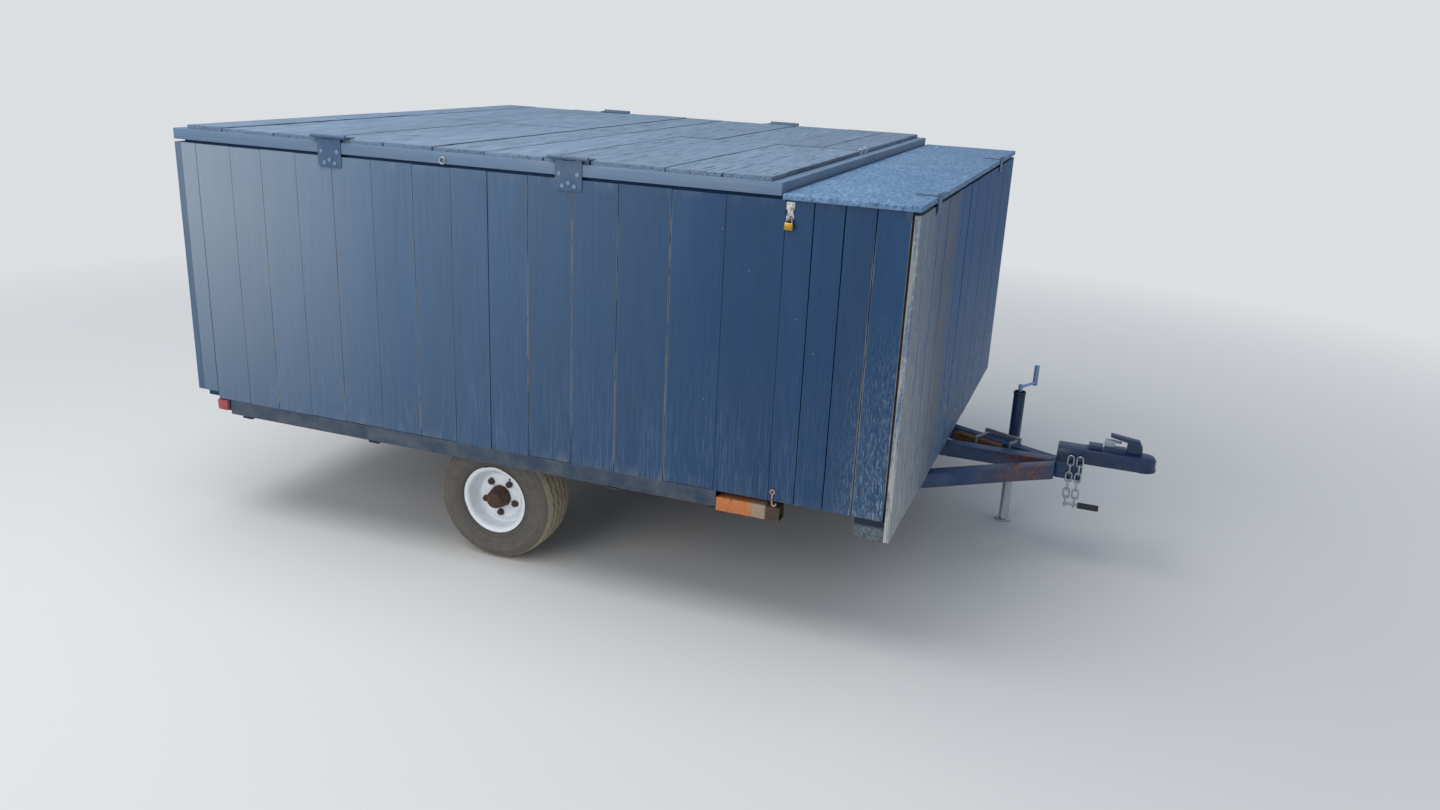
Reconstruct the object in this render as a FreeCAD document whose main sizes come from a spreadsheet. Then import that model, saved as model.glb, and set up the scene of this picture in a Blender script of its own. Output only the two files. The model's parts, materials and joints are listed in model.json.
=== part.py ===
import FreeCAD, Part
import math
import os
import re

import Sketcher
from FreeCAD import Placement, Rotation, Vector

# Utility trailer: a plank box with a lidded roof on a single-axle steel frame.
# Millimetres. +X points forward to the coupler, +Y to the trailer's left, +Z up.
# The origin is on the ground, midway along the whole trailer and on its centre line.

# Driving dimensions: alias, value, what it measures. "From the rear" means
# forward from the outer face of the rear wall.
DIMENSIONS = [
    ("through", 10, "how far a cutting tool reaches past the piece it cuts"),
    ("box_length", 2440, "outside length of the plank box"),
    ("box_width", 2020, "outside width of the plank box"),
    ("wall_height", 859, "height of the side walls"),
    ("plank", 19, "thickness of the wall planks"),
    ("rear_plank", 25, "thickness of the rear wall"),
    ("corner_board", 85, "width of the rear corner boards"),
    ("corner_lift", 22, "height of the corner boards' lower ends above the wall's"),
    ("corner_round", 30, "radius of the rear corner boards' lower corners"),
    ("front_drop", 61, "how far the front wall reaches below the side walls"),
    ("front_lower", 8, "how far the front wall's top lies below the side walls' tops"),
    ("wall_gap", 6, "open joint between the side walls and the front wall"),
    ("seam_width", 3, "width of the joints between planks"),
    ("seam_depth", 3, "depth of the joints between planks"),
    ("deck", 18, "thickness of the floor boards"),
    ("joist_height", 38, "height of the floor joists"),
    ("joist_width", 45, "width of the floor joists"),
    ("joist_inset", 90, "distance of the end joists from the box's ends"),
    ("post", 60, "side of the corner posts"),
    ("rest_width", 38, "width of the timbers that the lids rest on"),
    ("rest_depth", 70, "depth of the timbers that the lids rest on"),
    ("lid_rise", 9, "height of the leaves' rest above the side walls"),
    ("header_width", 90, "width of the roof header"),
    ("sill_width", 86, "width of the front sill"),
    ("sill_height", 65, "height of the front sill"),
    ("rail_bottom", 371, "height of the side rails above the ground"),
    ("rail_height", 50, "height of the side rails"),
    ("rail_width", 50, "width of the side rails"),
    ("rail_wall", 3, "wall of the side rails and stub tubes"),
    ("rail_start", 134, "rear end of the side rails, from the rear"),
    ("rail_short", 520, "distance of the side rails' front ends behind the box's front"),
    ("stub_length", 196, "length of the open stub tubes ahead of the side rails"),
    ("stub_height", 42, "height of the stub tubes"),
    ("stub_width", 46, "width of the stub tubes"),
    ("stub_drop", 11, "how far the stub tubes hang below the side rails"),
    ("channel_height", 80, "height of the frame's channels"),
    ("channel_width", 40, "flange width of the frame's channels"),
    ("channel_wall", 5, "wall of the frame's channels"),
    ("cross_clear", 120, "distance of the middle cross members from the spring eyes"),
    ("tongue_height", 50, "height of the tongue tubes"),
    ("tongue_width", 50, "width of the right tube and the centre beam"),
    ("left_beam_width", 40, "width of the left beam"),
    ("bend_reach", 250, "distance of the right tube's bend ahead of the box"),
    ("bend_offset", 140, "distance of the bend from the centre line"),
    ("right_offset", 330, "distance of the right tube from the centre line at the front wall"),
    ("left_offset", 185, "distance of the left beam from the centre line at the front wall"),
    ("tongue_reach", 700, "distance of the coupler's nose ahead of the box"),
    ("nose_length", 90, "length of the nose block that joins the tongue tubes"),
    ("nose_width", 100, "width of the nose block"),
    ("nose_drop", 2, "how far the nose block reaches below the tongue tubes"),
    ("nose_rise", 9, "how far the nose block reaches above the tongue tubes"),
    ("tube_entry", 20, "how far the slanted tubes' lines run into the nose block"),
    ("coupler_length", 325, "length of the coupler"),
    ("coupler_width", 84, "width of the coupler ahead of the nose block"),
    ("coupler_height", 52, "height of the coupler"),
    ("coupler_wall", 5, "thickness of the coupler's sides and top"),
    ("sleeve_drop", 4, "how far the coupler's wide rear part lies below its top"),
    ("crown_in", 8, "how far the crown's shoulder lies inside the coupler's side"),
    ("crown_fall", 14, "how far the coupler's sides end below its top"),
    ("crown_flat", 22, "distance of the crown's flat from the coupler's side"),
    ("crown_drop", 4, "how far the crown's shoulder lies below the coupler's top"),
    ("lip_width", 3, "how far the coupler's lip stands out round the ball"),
    ("lip_height", 7, "height of the coupler's lip round the ball"),
    ("ball", 50.8, "diameter of the tow ball"),
    ("ball_gap", 0.6, "clearance of the ball in its socket"),
    ("ball_rise", 16, "height of the ball's centre above the coupler's mouth"),
    ("latch_width", 34, "width of the coupler's latch"),
    ("latch_foot", 51, "length of the latch's foot"),
    ("latch_height", 46, "height of the latch above the coupler"),
    ("latch_place", 52, "distance of the latch's front from the coupler's nose"),
    ("lever_length", 108, "length of the latch's lever"),
    ("lever_rise", 12, "how far the lever climbs to its rear end"),
    ("lever_thick", 8, "thickness of the lever"),
    ("strip_height", 12, "height of the two low blocks on the coupler"),
    ("strip_place", 9, "distance of the rear low block ahead of the wide part"),
    ("rear_strip", 46, "length of the rear low block"),
    ("rear_strip_width", 44, "width of the rear low block"),
    ("front_strip", 72, "length of the front low block"),
    ("front_strip_width", 36, "width of the front low block"),
    ("strip_gap", 4, "gap between the two low blocks"),
    ("lock_length", 34, "length of the coupler's lock"),
    ("lock_width", 22, "width of the coupler's lock"),
    ("lock_height", 24, "height of the coupler's lock"),
    ("shackle_bar", 5, "thickness of the lock's shackle"),
    ("shackle_reach", 21, "how far the lock's shackle stands out"),
    ("axle_place", 1120, "place of the axle, from the rear"),
    ("axle_tube", 38, "side of the axle beam"),
    ("axle_short", 26, "distance of the axle beam's ends inside the wheels' middles"),
    ("tyre_gap", 25, "gap between the tyres and the side rails"),
    ("tyre_radius", 207, "outer radius of the tyres"),
    ("tyre_width", 160, "width of the tyres"),
    ("tread_width", 132, "width of the tread between its shoulders"),
    ("bead_lip", 3, "height of the tyres' straight sides above the rims' flanges"),
    ("sidewall_rise", 30, "height above the flange where the tyres are widest"),
    ("rim_seat", 101.5, "radius of the tyres' bead seats"),
    ("rim_flange", 114, "radius of the rims' flanges"),
    ("rim_width", 133, "width between the rims' flanges"),
    ("rim_sheet", 4, "thickness of the rims' sheet"),
    ("seat_gap", 0.3, "gap between curved pieces that lie on each other"),
    ("stud_circle", 57, "radius of the stud circle"),
    ("stud_count", 5, "number of wheel studs"),
    ("stud_radius", 6, "radius of the studs"),
    ("nut_radius", 10, "corner radius of the wheel nuts"),
    ("nut_height", 9, "height of the wheel nuts"),
    ("disc_rim", 13, "width of the rims' flat disc outside the stud circle"),
    ("disc_dish", 14, "how far the rims' disc falls back to its edge"),
    ("disc_offset", 29, "distance of the rims' disc outward from the tyres' middle"),
    ("hub_bore", 38, "radius of the hole in the rim"),
    ("hub_radius", 35, "radius of the hubs' barrels"),
    ("hub_inner", 19, "how far the hubs reach inward from the wheels' middles"),
    ("hub_outer", 59, "how far the hubs' barrels reach outward"),
    ("cap_radius", 31, "radius of the dust caps"),
    ("cap_length", 20, "length of the dust caps"),
    ("flange_thick", 10, "thickness of the hubs' flanges"),
    ("spindle", 12.5, "radius of the axle's spindles"),
    ("spring_inset", 155, "distance of the springs inside the wheels' middles"),
    ("spring_width", 45, "width of the leaf springs"),
    ("spring_leaf", 6, "thickness of one spring leaf"),
    ("spring_half", 300, "distance of a spring's eyes from the axle"),
    ("eye_drop", 40, "distance of the spring eyes below the channels"),
    ("eye_radius", 14, "outer radius of the spring eyes"),
    ("eye_bolt", 6, "radius of the bolts through the spring eyes"),
    ("cheek", 6, "thickness of the spring hangers' plates"),
    ("cheek_margin", 4, "how far a hanger's plates reach round the spring eye"),
    ("front_lid_depth", 371, "depth of the front lid, from the box's front"),
    ("lid_seam", 6, "gap between the lid leaves and the front lid"),
    ("leaf_bar", 34, "height of the lid leaves' frames"),
    ("leaf_bar_width", 64, "width of the lid leaves' frame bars"),
    ("leaf_board", 13, "thickness of the lid leaves' boards"),
    ("board_side", 8, "distance of the boards from the leaves' hinged edges"),
    ("board_front", 34, "distance of the boards from the leaves' front edges"),
    ("board_rear", 50, "distance of the boards from the leaves' rear edges"),
    ("centre_gap", 8, "gap between the two lid leaves"),
    ("front_lid", 16, "thickness of the front lid"),
    ("lid_clear", 0.5, "gap between the closed front lid and the side walls"),
    ("lid_overhang", 10, "overhang of the front lid past the side walls"),
    ("knuckle", 6, "radius of the hinge knuckles"),
    ("knuckle_gap", 0.5, "gap between neighbouring knuckles"),
    ("pin_rise", 3, "height of the leaves' hinge pins above the boards"),
    ("pin_stand", 4.25, "distance of the hinge pins outside the box"),
    ("hinge_sheet", 2.5, "thickness of the hinge plates"),
    ("hinge_pin", 2.5, "radius of the hinge pins"),
    ("pin_gap", 0.2, "gap round a hinge pin in its knuckle"),
    ("hinge_width", 128, "length of a leaf hinge's barrel"),
    ("flap_depth", 40, "how far a leaf hinge's flap reaches in over the boards"),
    ("plate_width", 85, "width of a leaf hinge's wall plate"),
    ("plate_drop", 34, "how far a leaf hinge's plate reaches below the wall's top"),
    ("plate_round", 9, "radius of the wall plates' lower corners"),
    ("strap_length", 62, "length of the front lid's hinge straps"),
    ("strap_width", 24, "width of the front lid's hinge straps"),
    ("strap_roll", 54, "length of a front hinge's barrel"),
    ("strap_drop", 30, "how far a front hinge's plate reaches below the wall's top"),
    ("hasp_place", 349, "distance of the hasp behind the box's front"),
    ("hasp_width", 24, "width of the hasp's strap"),
    ("hasp_waist", 14, "width of the hasp's waist"),
    ("hasp_length", 50, "length of the hasp's strap"),
    ("hasp_top", 4, "distance of the hasp's top below the wall's top"),
    ("loop_wire", 4, "thickness of the hasp's loop"),
    ("loop_reach", 14, "how far the hasp's loop stands out"),
    ("loop_height", 16, "height of the hasp's loop"),
    ("lock_body", 24, "width of the padlock's body"),
    ("lock_depth", 11, "depth of the padlock's body"),
    ("lock_tall", 20, "height of the padlock's body"),
    ("lock_shackle", 10, "outer radius of the padlock's shackle"),
    ("lock_bar", 4, "thickness of the padlock's shackle"),
    ("lock_stand", 5, "height of the straight legs of the padlock's shackle"),
    ("lamp_place", 75, "place of the tail lamps, from the rear"),
    ("lamp_length", 52, "length of the tail lamps"),
    ("lamp_width", 60, "width of the tail lamps"),
    ("lamp_height", 42, "height of the tail lamps"),
    ("block_length", 190, "length of the wooden block beside the left beam"),
    ("block_height", 44, "height of the wooden block beside the left beam"),
    ("block_depth", 36, "depth of the wooden block beside the left beam"),
    ("block_back", 65, "distance of the block's middle behind the jack's bracket"),
    ("jack_reach", 165, "distance of the jack's bracket ahead of the box"),
    ("pivot_rise", 25, "height of the jack's pivot above the tongue's underside"),
    ("plate_length", 150, "length of the jack bracket's plate"),
    ("plate_height", 90, "height of the jack bracket's plate"),
    ("bracket_plate", 8, "thickness of the jack bracket's plate"),
    ("bolt_spacing", 118, "distance between the jack bracket's U-bolts"),
    ("bolt_bar", 10, "thickness of the U-bolts"),
    ("bolt_tail", 18, "how far the U-bolts reach below the tongue"),
    ("clamp_thick", 8, "thickness of the U-bolts' clamp plates"),
    ("clamp_width", 26, "width of the U-bolts' clamp plates"),
    ("stub_radius", 18, "radius of the jack's pivot stub"),
    ("jack_stub", 52, "length of the jack's pivot stub"),
    ("swivel_radius", 27, "radius of the jack's swivel disc"),
    ("swivel_thick", 8, "thickness of the jack's swivel disc"),
    ("jack_radius", 21, "outer radius of the jack's tube"),
    ("jack_wall", 3, "wall of the jack's tube"),
    ("jack_above", 190, "height of the jack's tube above its pivot"),
    ("jack_below", 150, "length of the jack's tube below its pivot"),
    ("leg_overlap", 90, "length of the jack's leg inside its tube"),
    ("foot_radius", 32, "radius of the jack's foot"),
    ("foot_thick", 6, "thickness of the jack's foot"),
    ("crank_radius", 5, "radius of the jack's crank arm"),
    ("crank_reach", 100, "reach of the jack's crank arm"),
    ("crank_rise", 16, "height of the crank arm above the jack's tube"),
    ("grip_radius", 9, "radius of the crank's grip"),
    ("grip_length", 75, "length of the crank's grip"),
    ("link_wire", 6, "thickness of the safety chains' links"),
    ("link_inner", 30, "inner length of the safety chains' links"),
    ("link_gap", 14, "inner width of the safety chains' links"),
    ("link_count", 6, "links in each safety chain"),
    ("chain_stand", 14, "distance of the chains from the coupler's side"),
    ("chain_pin_rise", 24, "height of the chain pins above the nose block"),
    ("chain_pin_head", 4, "thickness of the chain pins' heads"),
    ("chain_bar", 5, "radius of the bar in the chains' last links"),
    ("chain_bar_length", 118, "length of the bar in the chains' last links"),
    ("grip_tube", 11, "radius of the bar's black grip"),
    ("grip_tube_length", 70, "length of the bar's black grip"),
]

# Plank joints of the side walls, as shares of the box's length from the rear;
# the last board is the front corner board.
SIDE_SEAMS = [0.035, 0.091, 0.1405, 0.196, 0.252, 0.3115, 0.3715, 0.426, 0.4775,
              0.532, 0.592, 0.651, 0.717, 0.7825, 0.8515, 0.8835, 0.918, 0.9525]
# Plank joints of the end walls, as shares of the box's width from its right side.
END_SEAMS = [0.074, 0.145, 0.216, 0.285, 0.356, 0.43, 0.5, 0.57, 0.644, 0.715, 0.785, 0.855, 0.927]
# Board joints of the lid leaves, as shares of their length from the rear.
LID_SEAMS = [0.092, 0.19, 0.2835, 0.388, 0.5575, 0.652, 0.724, 0.835, 0.916]

# Leaf hinges: name, place of the hinge's middle from the rear.
LEAF_HINGES = [("rear", 612), ("front", 1432)]
# Front lid hinges: name, place of the hinge's middle to the left of the centre line.
LID_HINGES = [("right", -772), ("left", 550)]
# Chain pins: name, place forward of the coupler's rear end.
CHAIN_PINS = [("rear", 50), ("front", 80)]
JOIST_COUNT = 8

doc = FreeCAD.newDocument("Trailer")
sheet = doc.addObject("Spreadsheet::Sheet", "Sheet")
for row, (alias, value, meaning) in enumerate(DIMENSIONS, start=1):
    sheet.set(f"A{row}", meaning)
    sheet.set(f"B{row}", str(value))
    sheet.setAlias(f"B{row}", alias)
doc.recompute()

ALIASES = {alias for alias, value, meaning in DIMENSIONS}

# Places that several pieces share, written with the sheet's names. A later one
# may use an earlier one.
PLACES = {
    "box_rear": "(-(box_length + tongue_reach) / 2)",
    "box_front": "((box_length - tongue_reach) / 2)",
    "half_width": "(box_width / 2)",
    "wall_bottom": "(rail_bottom + rail_height)",
    "wall_top": "(wall_bottom + wall_height)",
    "wall_front": "(box_front - plank)",
    "channel_bottom": "(wall_bottom - channel_height)",
    "floor_top": "(wall_bottom + joist_height + deck)",
    "rest_top": "(wall_top + lid_rise)",
    "bar_top": "(rest_top + leaf_bar)",
    "board_top": "(bar_top + leaf_board)",
    "leaf_front": "(box_length - front_lid_depth - lid_seam)",
    "lid_bottom": "(wall_top + lid_clear)",
    "lid_top": "(lid_bottom + front_lid)",
    "pin_y": "(half_width + pin_stand)",
    "pin_z": "(board_top + pin_rise)",
    "front_pin_x": "(box_front + pin_stand)",
    "front_pin_z": "(lid_top + knuckle)",
    "rail_front": "(box_front - rail_short)",
    "tongue_back": "(rail_front - channel_width)",
    "tongue_bottom": "(channel_bottom - tongue_height)",
    "nose_back": "(box_front + tongue_reach - coupler_length)",
    "nose_top": "(tongue_bottom + tongue_height + nose_rise)",
    "coupler_nose": "(box_front + tongue_reach)",
    "coupler_top": "(nose_top + coupler_height)",
    "cup_radius": "(coupler_width / 2 + lip_width)",
    "socket_radius": "(ball / 2 + ball_gap)",
    "ball_x": "(coupler_nose - cup_radius)",
    "axle_x": "(box_rear + axle_place)",
    "axle_z": "tyre_radius",
    "wheel_y": "(half_width - rail_width - tyre_gap - tyre_width / 2)",
    "spring_y": "(wheel_y - spring_inset)",
    "eye_z": "(channel_bottom - eye_drop)",
    "left_slope": "(left_offset / (nose_back + tube_entry - box_front))",
    "left_scale": "sqrt(1 + left_slope ^ 2)",
    "jack_x": "(box_front + jack_reach)",
    "jack_y": "(left_slope * (nose_back + tube_entry - jack_x))",
    "pivot_out": "(left_beam_width / 2 + bracket_plate + jack_stub + jack_radius)",
    "pivot_x": "(jack_x + left_slope / left_scale * pivot_out)",
    "pivot_y": "(jack_y + pivot_out / left_scale)",
    "pivot_z": "(tongue_bottom + pivot_rise)",
}
WORD = re.compile(r"[A-Za-z_][A-Za-z_0-9]*")


def spelled(text):
    """Replace the shared places in an expression by what they stand for."""
    text = str(text)
    while any(word in PLACES for word in WORD.findall(text)):
        text = WORD.sub(lambda found: PLACES.get(found.group(0), found.group(0)), text)
    return text


def bound(text):
    """Write an expression so that it reads its sizes from the sheet."""
    def reference(found):
        word = found.group(0)
        return "Sheet." + word if word in ALIASES else word
    return WORD.sub(reference, spelled(text))


def number(text):
    """The present value of an expression."""
    return float(sheet.evalExpression(spelled(text)))


def place(obj, corner, rotation=None):
    """Put an object at a corner or centre given by three expressions."""
    obj.Placement = Placement(Vector(*[number(c) for c in corner]), rotation or Rotation())
    for axis, text in zip("xyz", corner):
        obj.setExpression(f"Placement.Base.{axis}", bound(text))
    return obj


def box(label, size, corner, rotation=None):
    made = doc.addObject("Part::Box", label)
    for side, text in zip(("Length", "Width", "Height"), size):
        made.setExpression(side, bound(text))
    return place(made, corner, rotation)


TURN = {
    "x": Rotation(Vector(0, 1, 0), 90),
    "y": Rotation(Vector(1, 0, 0), -90),
    "z": Rotation(),
}


def cylinder(label, radius, length, base, along="z"):
    made = doc.addObject("Part::Cylinder", label)
    made.setExpression("Radius", bound(radius))
    made.setExpression("Height", bound(length))
    return place(made, base, TURN[along] if isinstance(along, str) else along)


def prism(label, sides, radius, length, base, along="z"):
    made = doc.addObject("Part::Prism", label)
    made.Polygon = sides
    made.setExpression("Circumradius", bound(radius))
    made.setExpression("Height", bound(length))
    return place(made, base, TURN[along])


def fuse(label, pieces):
    if len(pieces) == 1:
        return pieces[0]
    made = doc.addObject("Part::MultiFuse", label)
    made.Shapes = pieces
    made.Refine = True
    return made


def cut(label, base, tools):
    made = doc.addObject("Part::Cut", label)
    made.Base = base
    made.Tool = fuse(label + "_tools", tools)
    made.Refine = True
    return made


def group(label, pieces):
    """Like pieces on one body that share a node and don't touch."""
    made = doc.addObject("Part::Compound", label)
    made.Links = pieces
    return made


def tube(label, size, corner, wall):
    """A rectangular tube along X, open at both ends."""
    inner_size = (f"({size[0]}) + 2 * through", f"({size[1]}) - 2 * {wall}", f"({size[2]}) - 2 * {wall}")
    inner_corner = (f"({corner[0]}) - through", f"({corner[1]}) + {wall}", f"({corner[2]}) + {wall}")
    return cut(label, box(label + "_outer", size, corner), [box(label + "_inner", inner_size, inner_corner)])


def origin_plane(body, role):
    return next(item for item in body.Origin.OriginFeatures if item.Role == role)


def outline(body, label, plane, corners):
    """A closed sketch on one of the body's own planes.

    Each corner is (across, up) or (across, up, radius): the side that starts
    there is straight, or an arc of that radius, bulging to its right if the
    radius has a minus sign.
    """
    sketch = body.newObject("Sketcher::SketchObject", label)
    sketch.AttachmentSupport = [(origin_plane(body, plane), "")]
    sketch.MapMode = "FlatFace"
    points = [Vector(number(c[0]), number(c[1]), 0) for c in corners]
    starts, ends = [], []
    for index, corner in enumerate(corners):
        first, last = points[index], points[(index + 1) % len(points)]
        if len(corner) == 2:
            side = sketch.addGeometry(Part.LineSegment(first, last), False)
            starts.append((side, 1))
            ends.append((side, 2))
            continue
        bulge = number(corner[2])
        radius = abs(bulge)
        chord = last - first
        left = Vector(-chord.y, chord.x, 0).normalize()
        away = math.sqrt(max(radius ** 2 - chord.Length ** 2 / 4, 0))
        centre = (first + last) * 0.5 - left * math.copysign(away, bulge)
        # An arc runs anticlockwise, so a side that bulges to its left is drawn backwards.
        begin, finish = (last, first) if bulge > 0 else (first, last)
        angles = [math.atan2(p.y - centre.y, p.x - centre.x) for p in (begin, finish)]
        circle = Part.Circle(centre, Vector(0, 0, 1), radius)
        side = sketch.addGeometry(Part.ArcOfCircle(circle, *angles), False)
        starts.append((side, 2 if bulge > 0 else 1))
        ends.append((side, 1 if bulge > 0 else 2))
        mark = sketch.addConstraint(Sketcher.Constraint("Radius", side, radius))
        sketch.setExpression(f"Constraints[{mark}]", bound(f"abs({corner[2]})"))
    for index in range(len(corners)):
        following = (index + 1) % len(corners)
        sketch.addConstraint(Sketcher.Constraint("Coincident", *ends[index], *starts[following]))
    for corner, point, (side, position) in zip(corners, points, starts):
        for kind, text, value, axis in (
                ("DistanceX", corner[0], point.x, -2),
                ("DistanceY", corner[1], point.y, -1)):
            if text == "0":
                sketch.addConstraint(Sketcher.Constraint("PointOnObject", side, position, axis))
                continue
            mark = sketch.addConstraint(Sketcher.Constraint(kind, -1, 1, side, position, value))
            sketch.setExpression(f"Constraints[{mark}]", bound(text))
    return sketch


def padded(label, plane, corners, length, at=("0", "0", "0")):
    """A body made by padding an outline; the pad runs along the plane's normal."""
    body = doc.addObject("PartDesign::Body", label)
    sketch = outline(body, label + "_outline", plane, corners)
    pad = body.newObject("PartDesign::Pad", label + "_pad")
    pad.Profile = sketch
    pad.setExpression("Length", bound(length))
    sketch.Visibility = False
    return place(body, at)


def revolved(label, corners, at=("0", "0", "0"), rotation=None):
    """A body turned about its own Z axis from an outline in (radius, height)."""
    body = doc.addObject("PartDesign::Body", label)
    sketch = outline(body, label + "_outline", "XZ_Plane", corners)
    turned = body.newObject("PartDesign::Revolution", label + "_turned")
    turned.Profile = sketch
    turned.ReferenceAxis = (sketch, ["V_Axis"])
    turned.Angle = 360
    return place(body, at, rotation)


PARTS = []


def part(obj, name=None):
    """Hand a finished object in as a sub-part; its label names its file."""
    if name:
        obj.Label = name
    PARTS.append(obj)
    return obj


def from_rear(distance):
    return f"box_rear + ({distance})"


SIDES = [("right", -1), ("left", 1)]


def outward(side, inner, width):
    """Start of a width that begins at distance inner from the centre line."""
    return f"{inner}" if side > 0 else f"-({inner}) - ({width})"


def mirrored(side, distance):
    return f"{side} * ({distance})"


# Frame: side rails, stub tubes, and channels under the floor
stubs = []
for name, side in SIDES:
    start = outward(side, "half_width - rail_width", "rail_width")
    part(tube(f"side_rail_{name}", ("rail_front - box_rear - rail_start", "rail_width", "rail_height"),
              (from_rear("rail_start"), start, "rail_bottom"), "rail_wall"))
    start = outward(side, "half_width - rail_width / 2 - stub_width / 2", "stub_width")
    stubs.append(tube(f"stub_{name}", ("stub_length", "stub_width", "stub_height"),
                      ("rail_front", start, "rail_bottom - stub_drop"), "rail_wall"))
part(group("stub_tubes", stubs))


def channel(label, length, corner, along, opens):
    """A channel with its web on one side; opens is the side that the web is not on."""
    shift = "channel_wall" if opens > 0 else "0"
    across = "channel_width - channel_wall"
    clear = "channel_height - 2 * channel_wall"
    if along == "x":
        size = (length, "channel_width", "channel_height")
        hollow = (f"{length} + 2 * through", across, clear)
        start = (f"{corner[0]} - through", f"{corner[1]} + {shift}", f"{corner[2]} + channel_wall")
    else:
        size = ("channel_width", length, "channel_height")
        hollow = (across, f"{length} + 2 * through", clear)
        start = (f"{corner[0]} + {shift}", f"{corner[1]} - through", f"{corner[2]} + channel_wall")
    return cut(label, box(label + "_block", size, corner), [box(label + "_hollow", hollow, start)])


sill_back = "(wall_front - sill_width)"
inner_rails = []
for name, side in SIDES:
    start = outward(side, "spring_y - channel_width / 2", "channel_width")
    inner_rails.append(channel(f"inner_rail_{name}", f"({sill_back} - box_rear - rail_start)",
                               (from_rear("rail_start"), start, "channel_bottom"), "x", -side))
part(group("inner_rails", inner_rails))

# Cross members stand between the inner rails; outriggers carry the side rails.
spring_span = "(spring_half + cross_clear)"
CROSS_MEMBERS = [
    from_rear("rail_start"),
    f"axle_x - {spring_span} - channel_width",
    f"axle_x + {spring_span}",
    "tongue_back",
]
crosses, outriggers = [], []
for index, start in enumerate([*CROSS_MEMBERS, f"{sill_back} - channel_width"]):
    crosses.append(channel(f"cross_{index}", "(2 * spring_y - channel_width)",
                           (start, "-spring_y + channel_width / 2", "channel_bottom"), "y", 1))
for index, start in enumerate(CROSS_MEMBERS):
    for name, side in SIDES:
        reach = "(half_width - rail_width - spring_y - channel_width / 2)"
        first = outward(side, "spring_y + channel_width / 2", reach)
        outriggers.append(channel(
            f"outrigger_{name}_{index}", reach, (start, first, "channel_bottom"), "y", 1))
part(group("cross_members", crosses))
part(group("outriggers", outriggers))

# Floor: boards notched round the corner posts, on joists
inside = "(box_width - 2 * plank)"
floor_length = "(box_length - rear_plank - plank)"
boards = box("deck_boards", (floor_length, inside, "deck"),
             ("box_rear + rear_plank", f"-{inside} / 2", "wall_bottom + joist_height"))
POST_ENDS = [("rear", "box_rear + rear_plank"), ("front", "wall_front - post")]
notches = []
for name, side in SIDES:
    start = outward(side, "half_width - plank - post", "post")
    for where, x in POST_ENDS:
        notches.append(box(f"notch_{where}_{name}", ("post", "post", "deck + 2 * through"),
                           (x, start, "wall_bottom + joist_height - through")))
part(cut("floor_deck", boards, notches))
joists = []
for index in range(JOIST_COUNT):
    run = f"(box_length - 2 * joist_inset - joist_width) * {index} / {JOIST_COUNT - 1}"
    joists.append(box(f"joist_{index}", ("joist_width", inside, "joist_height"),
                      (from_rear(f"joist_inset + {run}"), f"-{inside} / 2", "wall_bottom")))
part(group("floor_joists", joists))


# Walls
def seams(label, shares, across, depth_start, bottom, height):
    """Joints between upright planks, cut into one face of a wall."""
    cuts = []
    for index, share in enumerate(shares):
        if across == "x":
            size = ("seam_width", "seam_depth", height)
            corner = (from_rear(f"{share} * box_length - seam_width / 2"), depth_start, bottom)
        else:
            size = ("seam_depth", "seam_width", height)
            corner = (depth_start, f"({share} - 0.5) * box_width - seam_width / 2", bottom)
        cuts.append(box(f"{label}_seam_{index}", size, corner))
    return cuts


for name, side in SIDES:
    start = outward(side, "half_width - plank", "plank")
    panel = padded(f"panel_{name}", "XZ_Plane", [
        ("corner_board", "0"),
        ("box_length - plank - wall_gap", "0"),
        ("box_length - plank - wall_gap", "wall_height"),
        ("rear_plank", "wall_height"),
        ("rear_plank", "corner_lift"),
        ("corner_board", "corner_lift"),
    ], "plank", ("box_rear", f"{start} + plank", "wall_bottom"))
    face = "-half_width" if side < 0 else "half_width - seam_depth"
    part(cut(f"wall_{name}", panel, seams(f"wall_{name}", SIDE_SEAMS, "x", face, "wall_bottom - through",
                                          "wall_height + 2 * through")))

front_tall = "(wall_height + front_drop - front_lower)"
front_panel = box("front_panel", ("plank", "box_width", front_tall),
                  ("wall_front", "-half_width", "wall_bottom - front_drop"))
part(cut("wall_front", front_panel, seams("wall_front", END_SEAMS, "y", "box_front - seam_depth",
                                          "wall_bottom - front_drop - through",
                                          f"{front_tall} + 2 * through")))
rear_panel = padded("rear_panel", "YZ_Plane", [
    ("-half_width + corner_round", "corner_lift"),
    ("half_width - corner_round", "corner_lift", "-corner_round"),
    ("half_width", "corner_lift + corner_round"),
    ("half_width", "wall_height"),
    ("-half_width", "wall_height"),
    ("-half_width", "corner_lift + corner_round", "-corner_round"),
], "rear_plank", ("box_rear", "0", "wall_bottom"))
part(cut("wall_rear", rear_panel, seams("wall_rear", END_SEAMS, "y", "box_rear",
                                        "wall_bottom - through", "wall_height + 2 * through")))

# Framing inside the box: posts, and the timbers that the lids rest on
framing = []
rest_bottom = "rest_top - rest_depth"
ledger_depth = "rest_depth - lid_rise"
for name, side in SIDES:
    start = outward(side, "half_width - plank - post", "post")
    for where, x in POST_ENDS:
        framing.append(box(
            f"post_{where}_{name}", ("post", "post", "wall_height"), (x, start, "wall_bottom")))
    edge = outward(side, "half_width - plank - rest_width", "rest_width")
    framing.append(box(f"rest_{name}", ("leaf_front - rear_plank", "rest_width", "rest_depth"),
                       ("box_rear + rear_plank", edge, rest_bottom)))
    framing.append(box(f"ledger_{name}", ("box_length - plank - leaf_front", "rest_width", ledger_depth),
                       (from_rear("leaf_front"), edge, rest_bottom)))
framing.append(box("rest_rear", ("rest_width", inside, "rest_depth"),
                   ("box_rear + rear_plank", f"-{inside} / 2", rest_bottom)))
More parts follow.
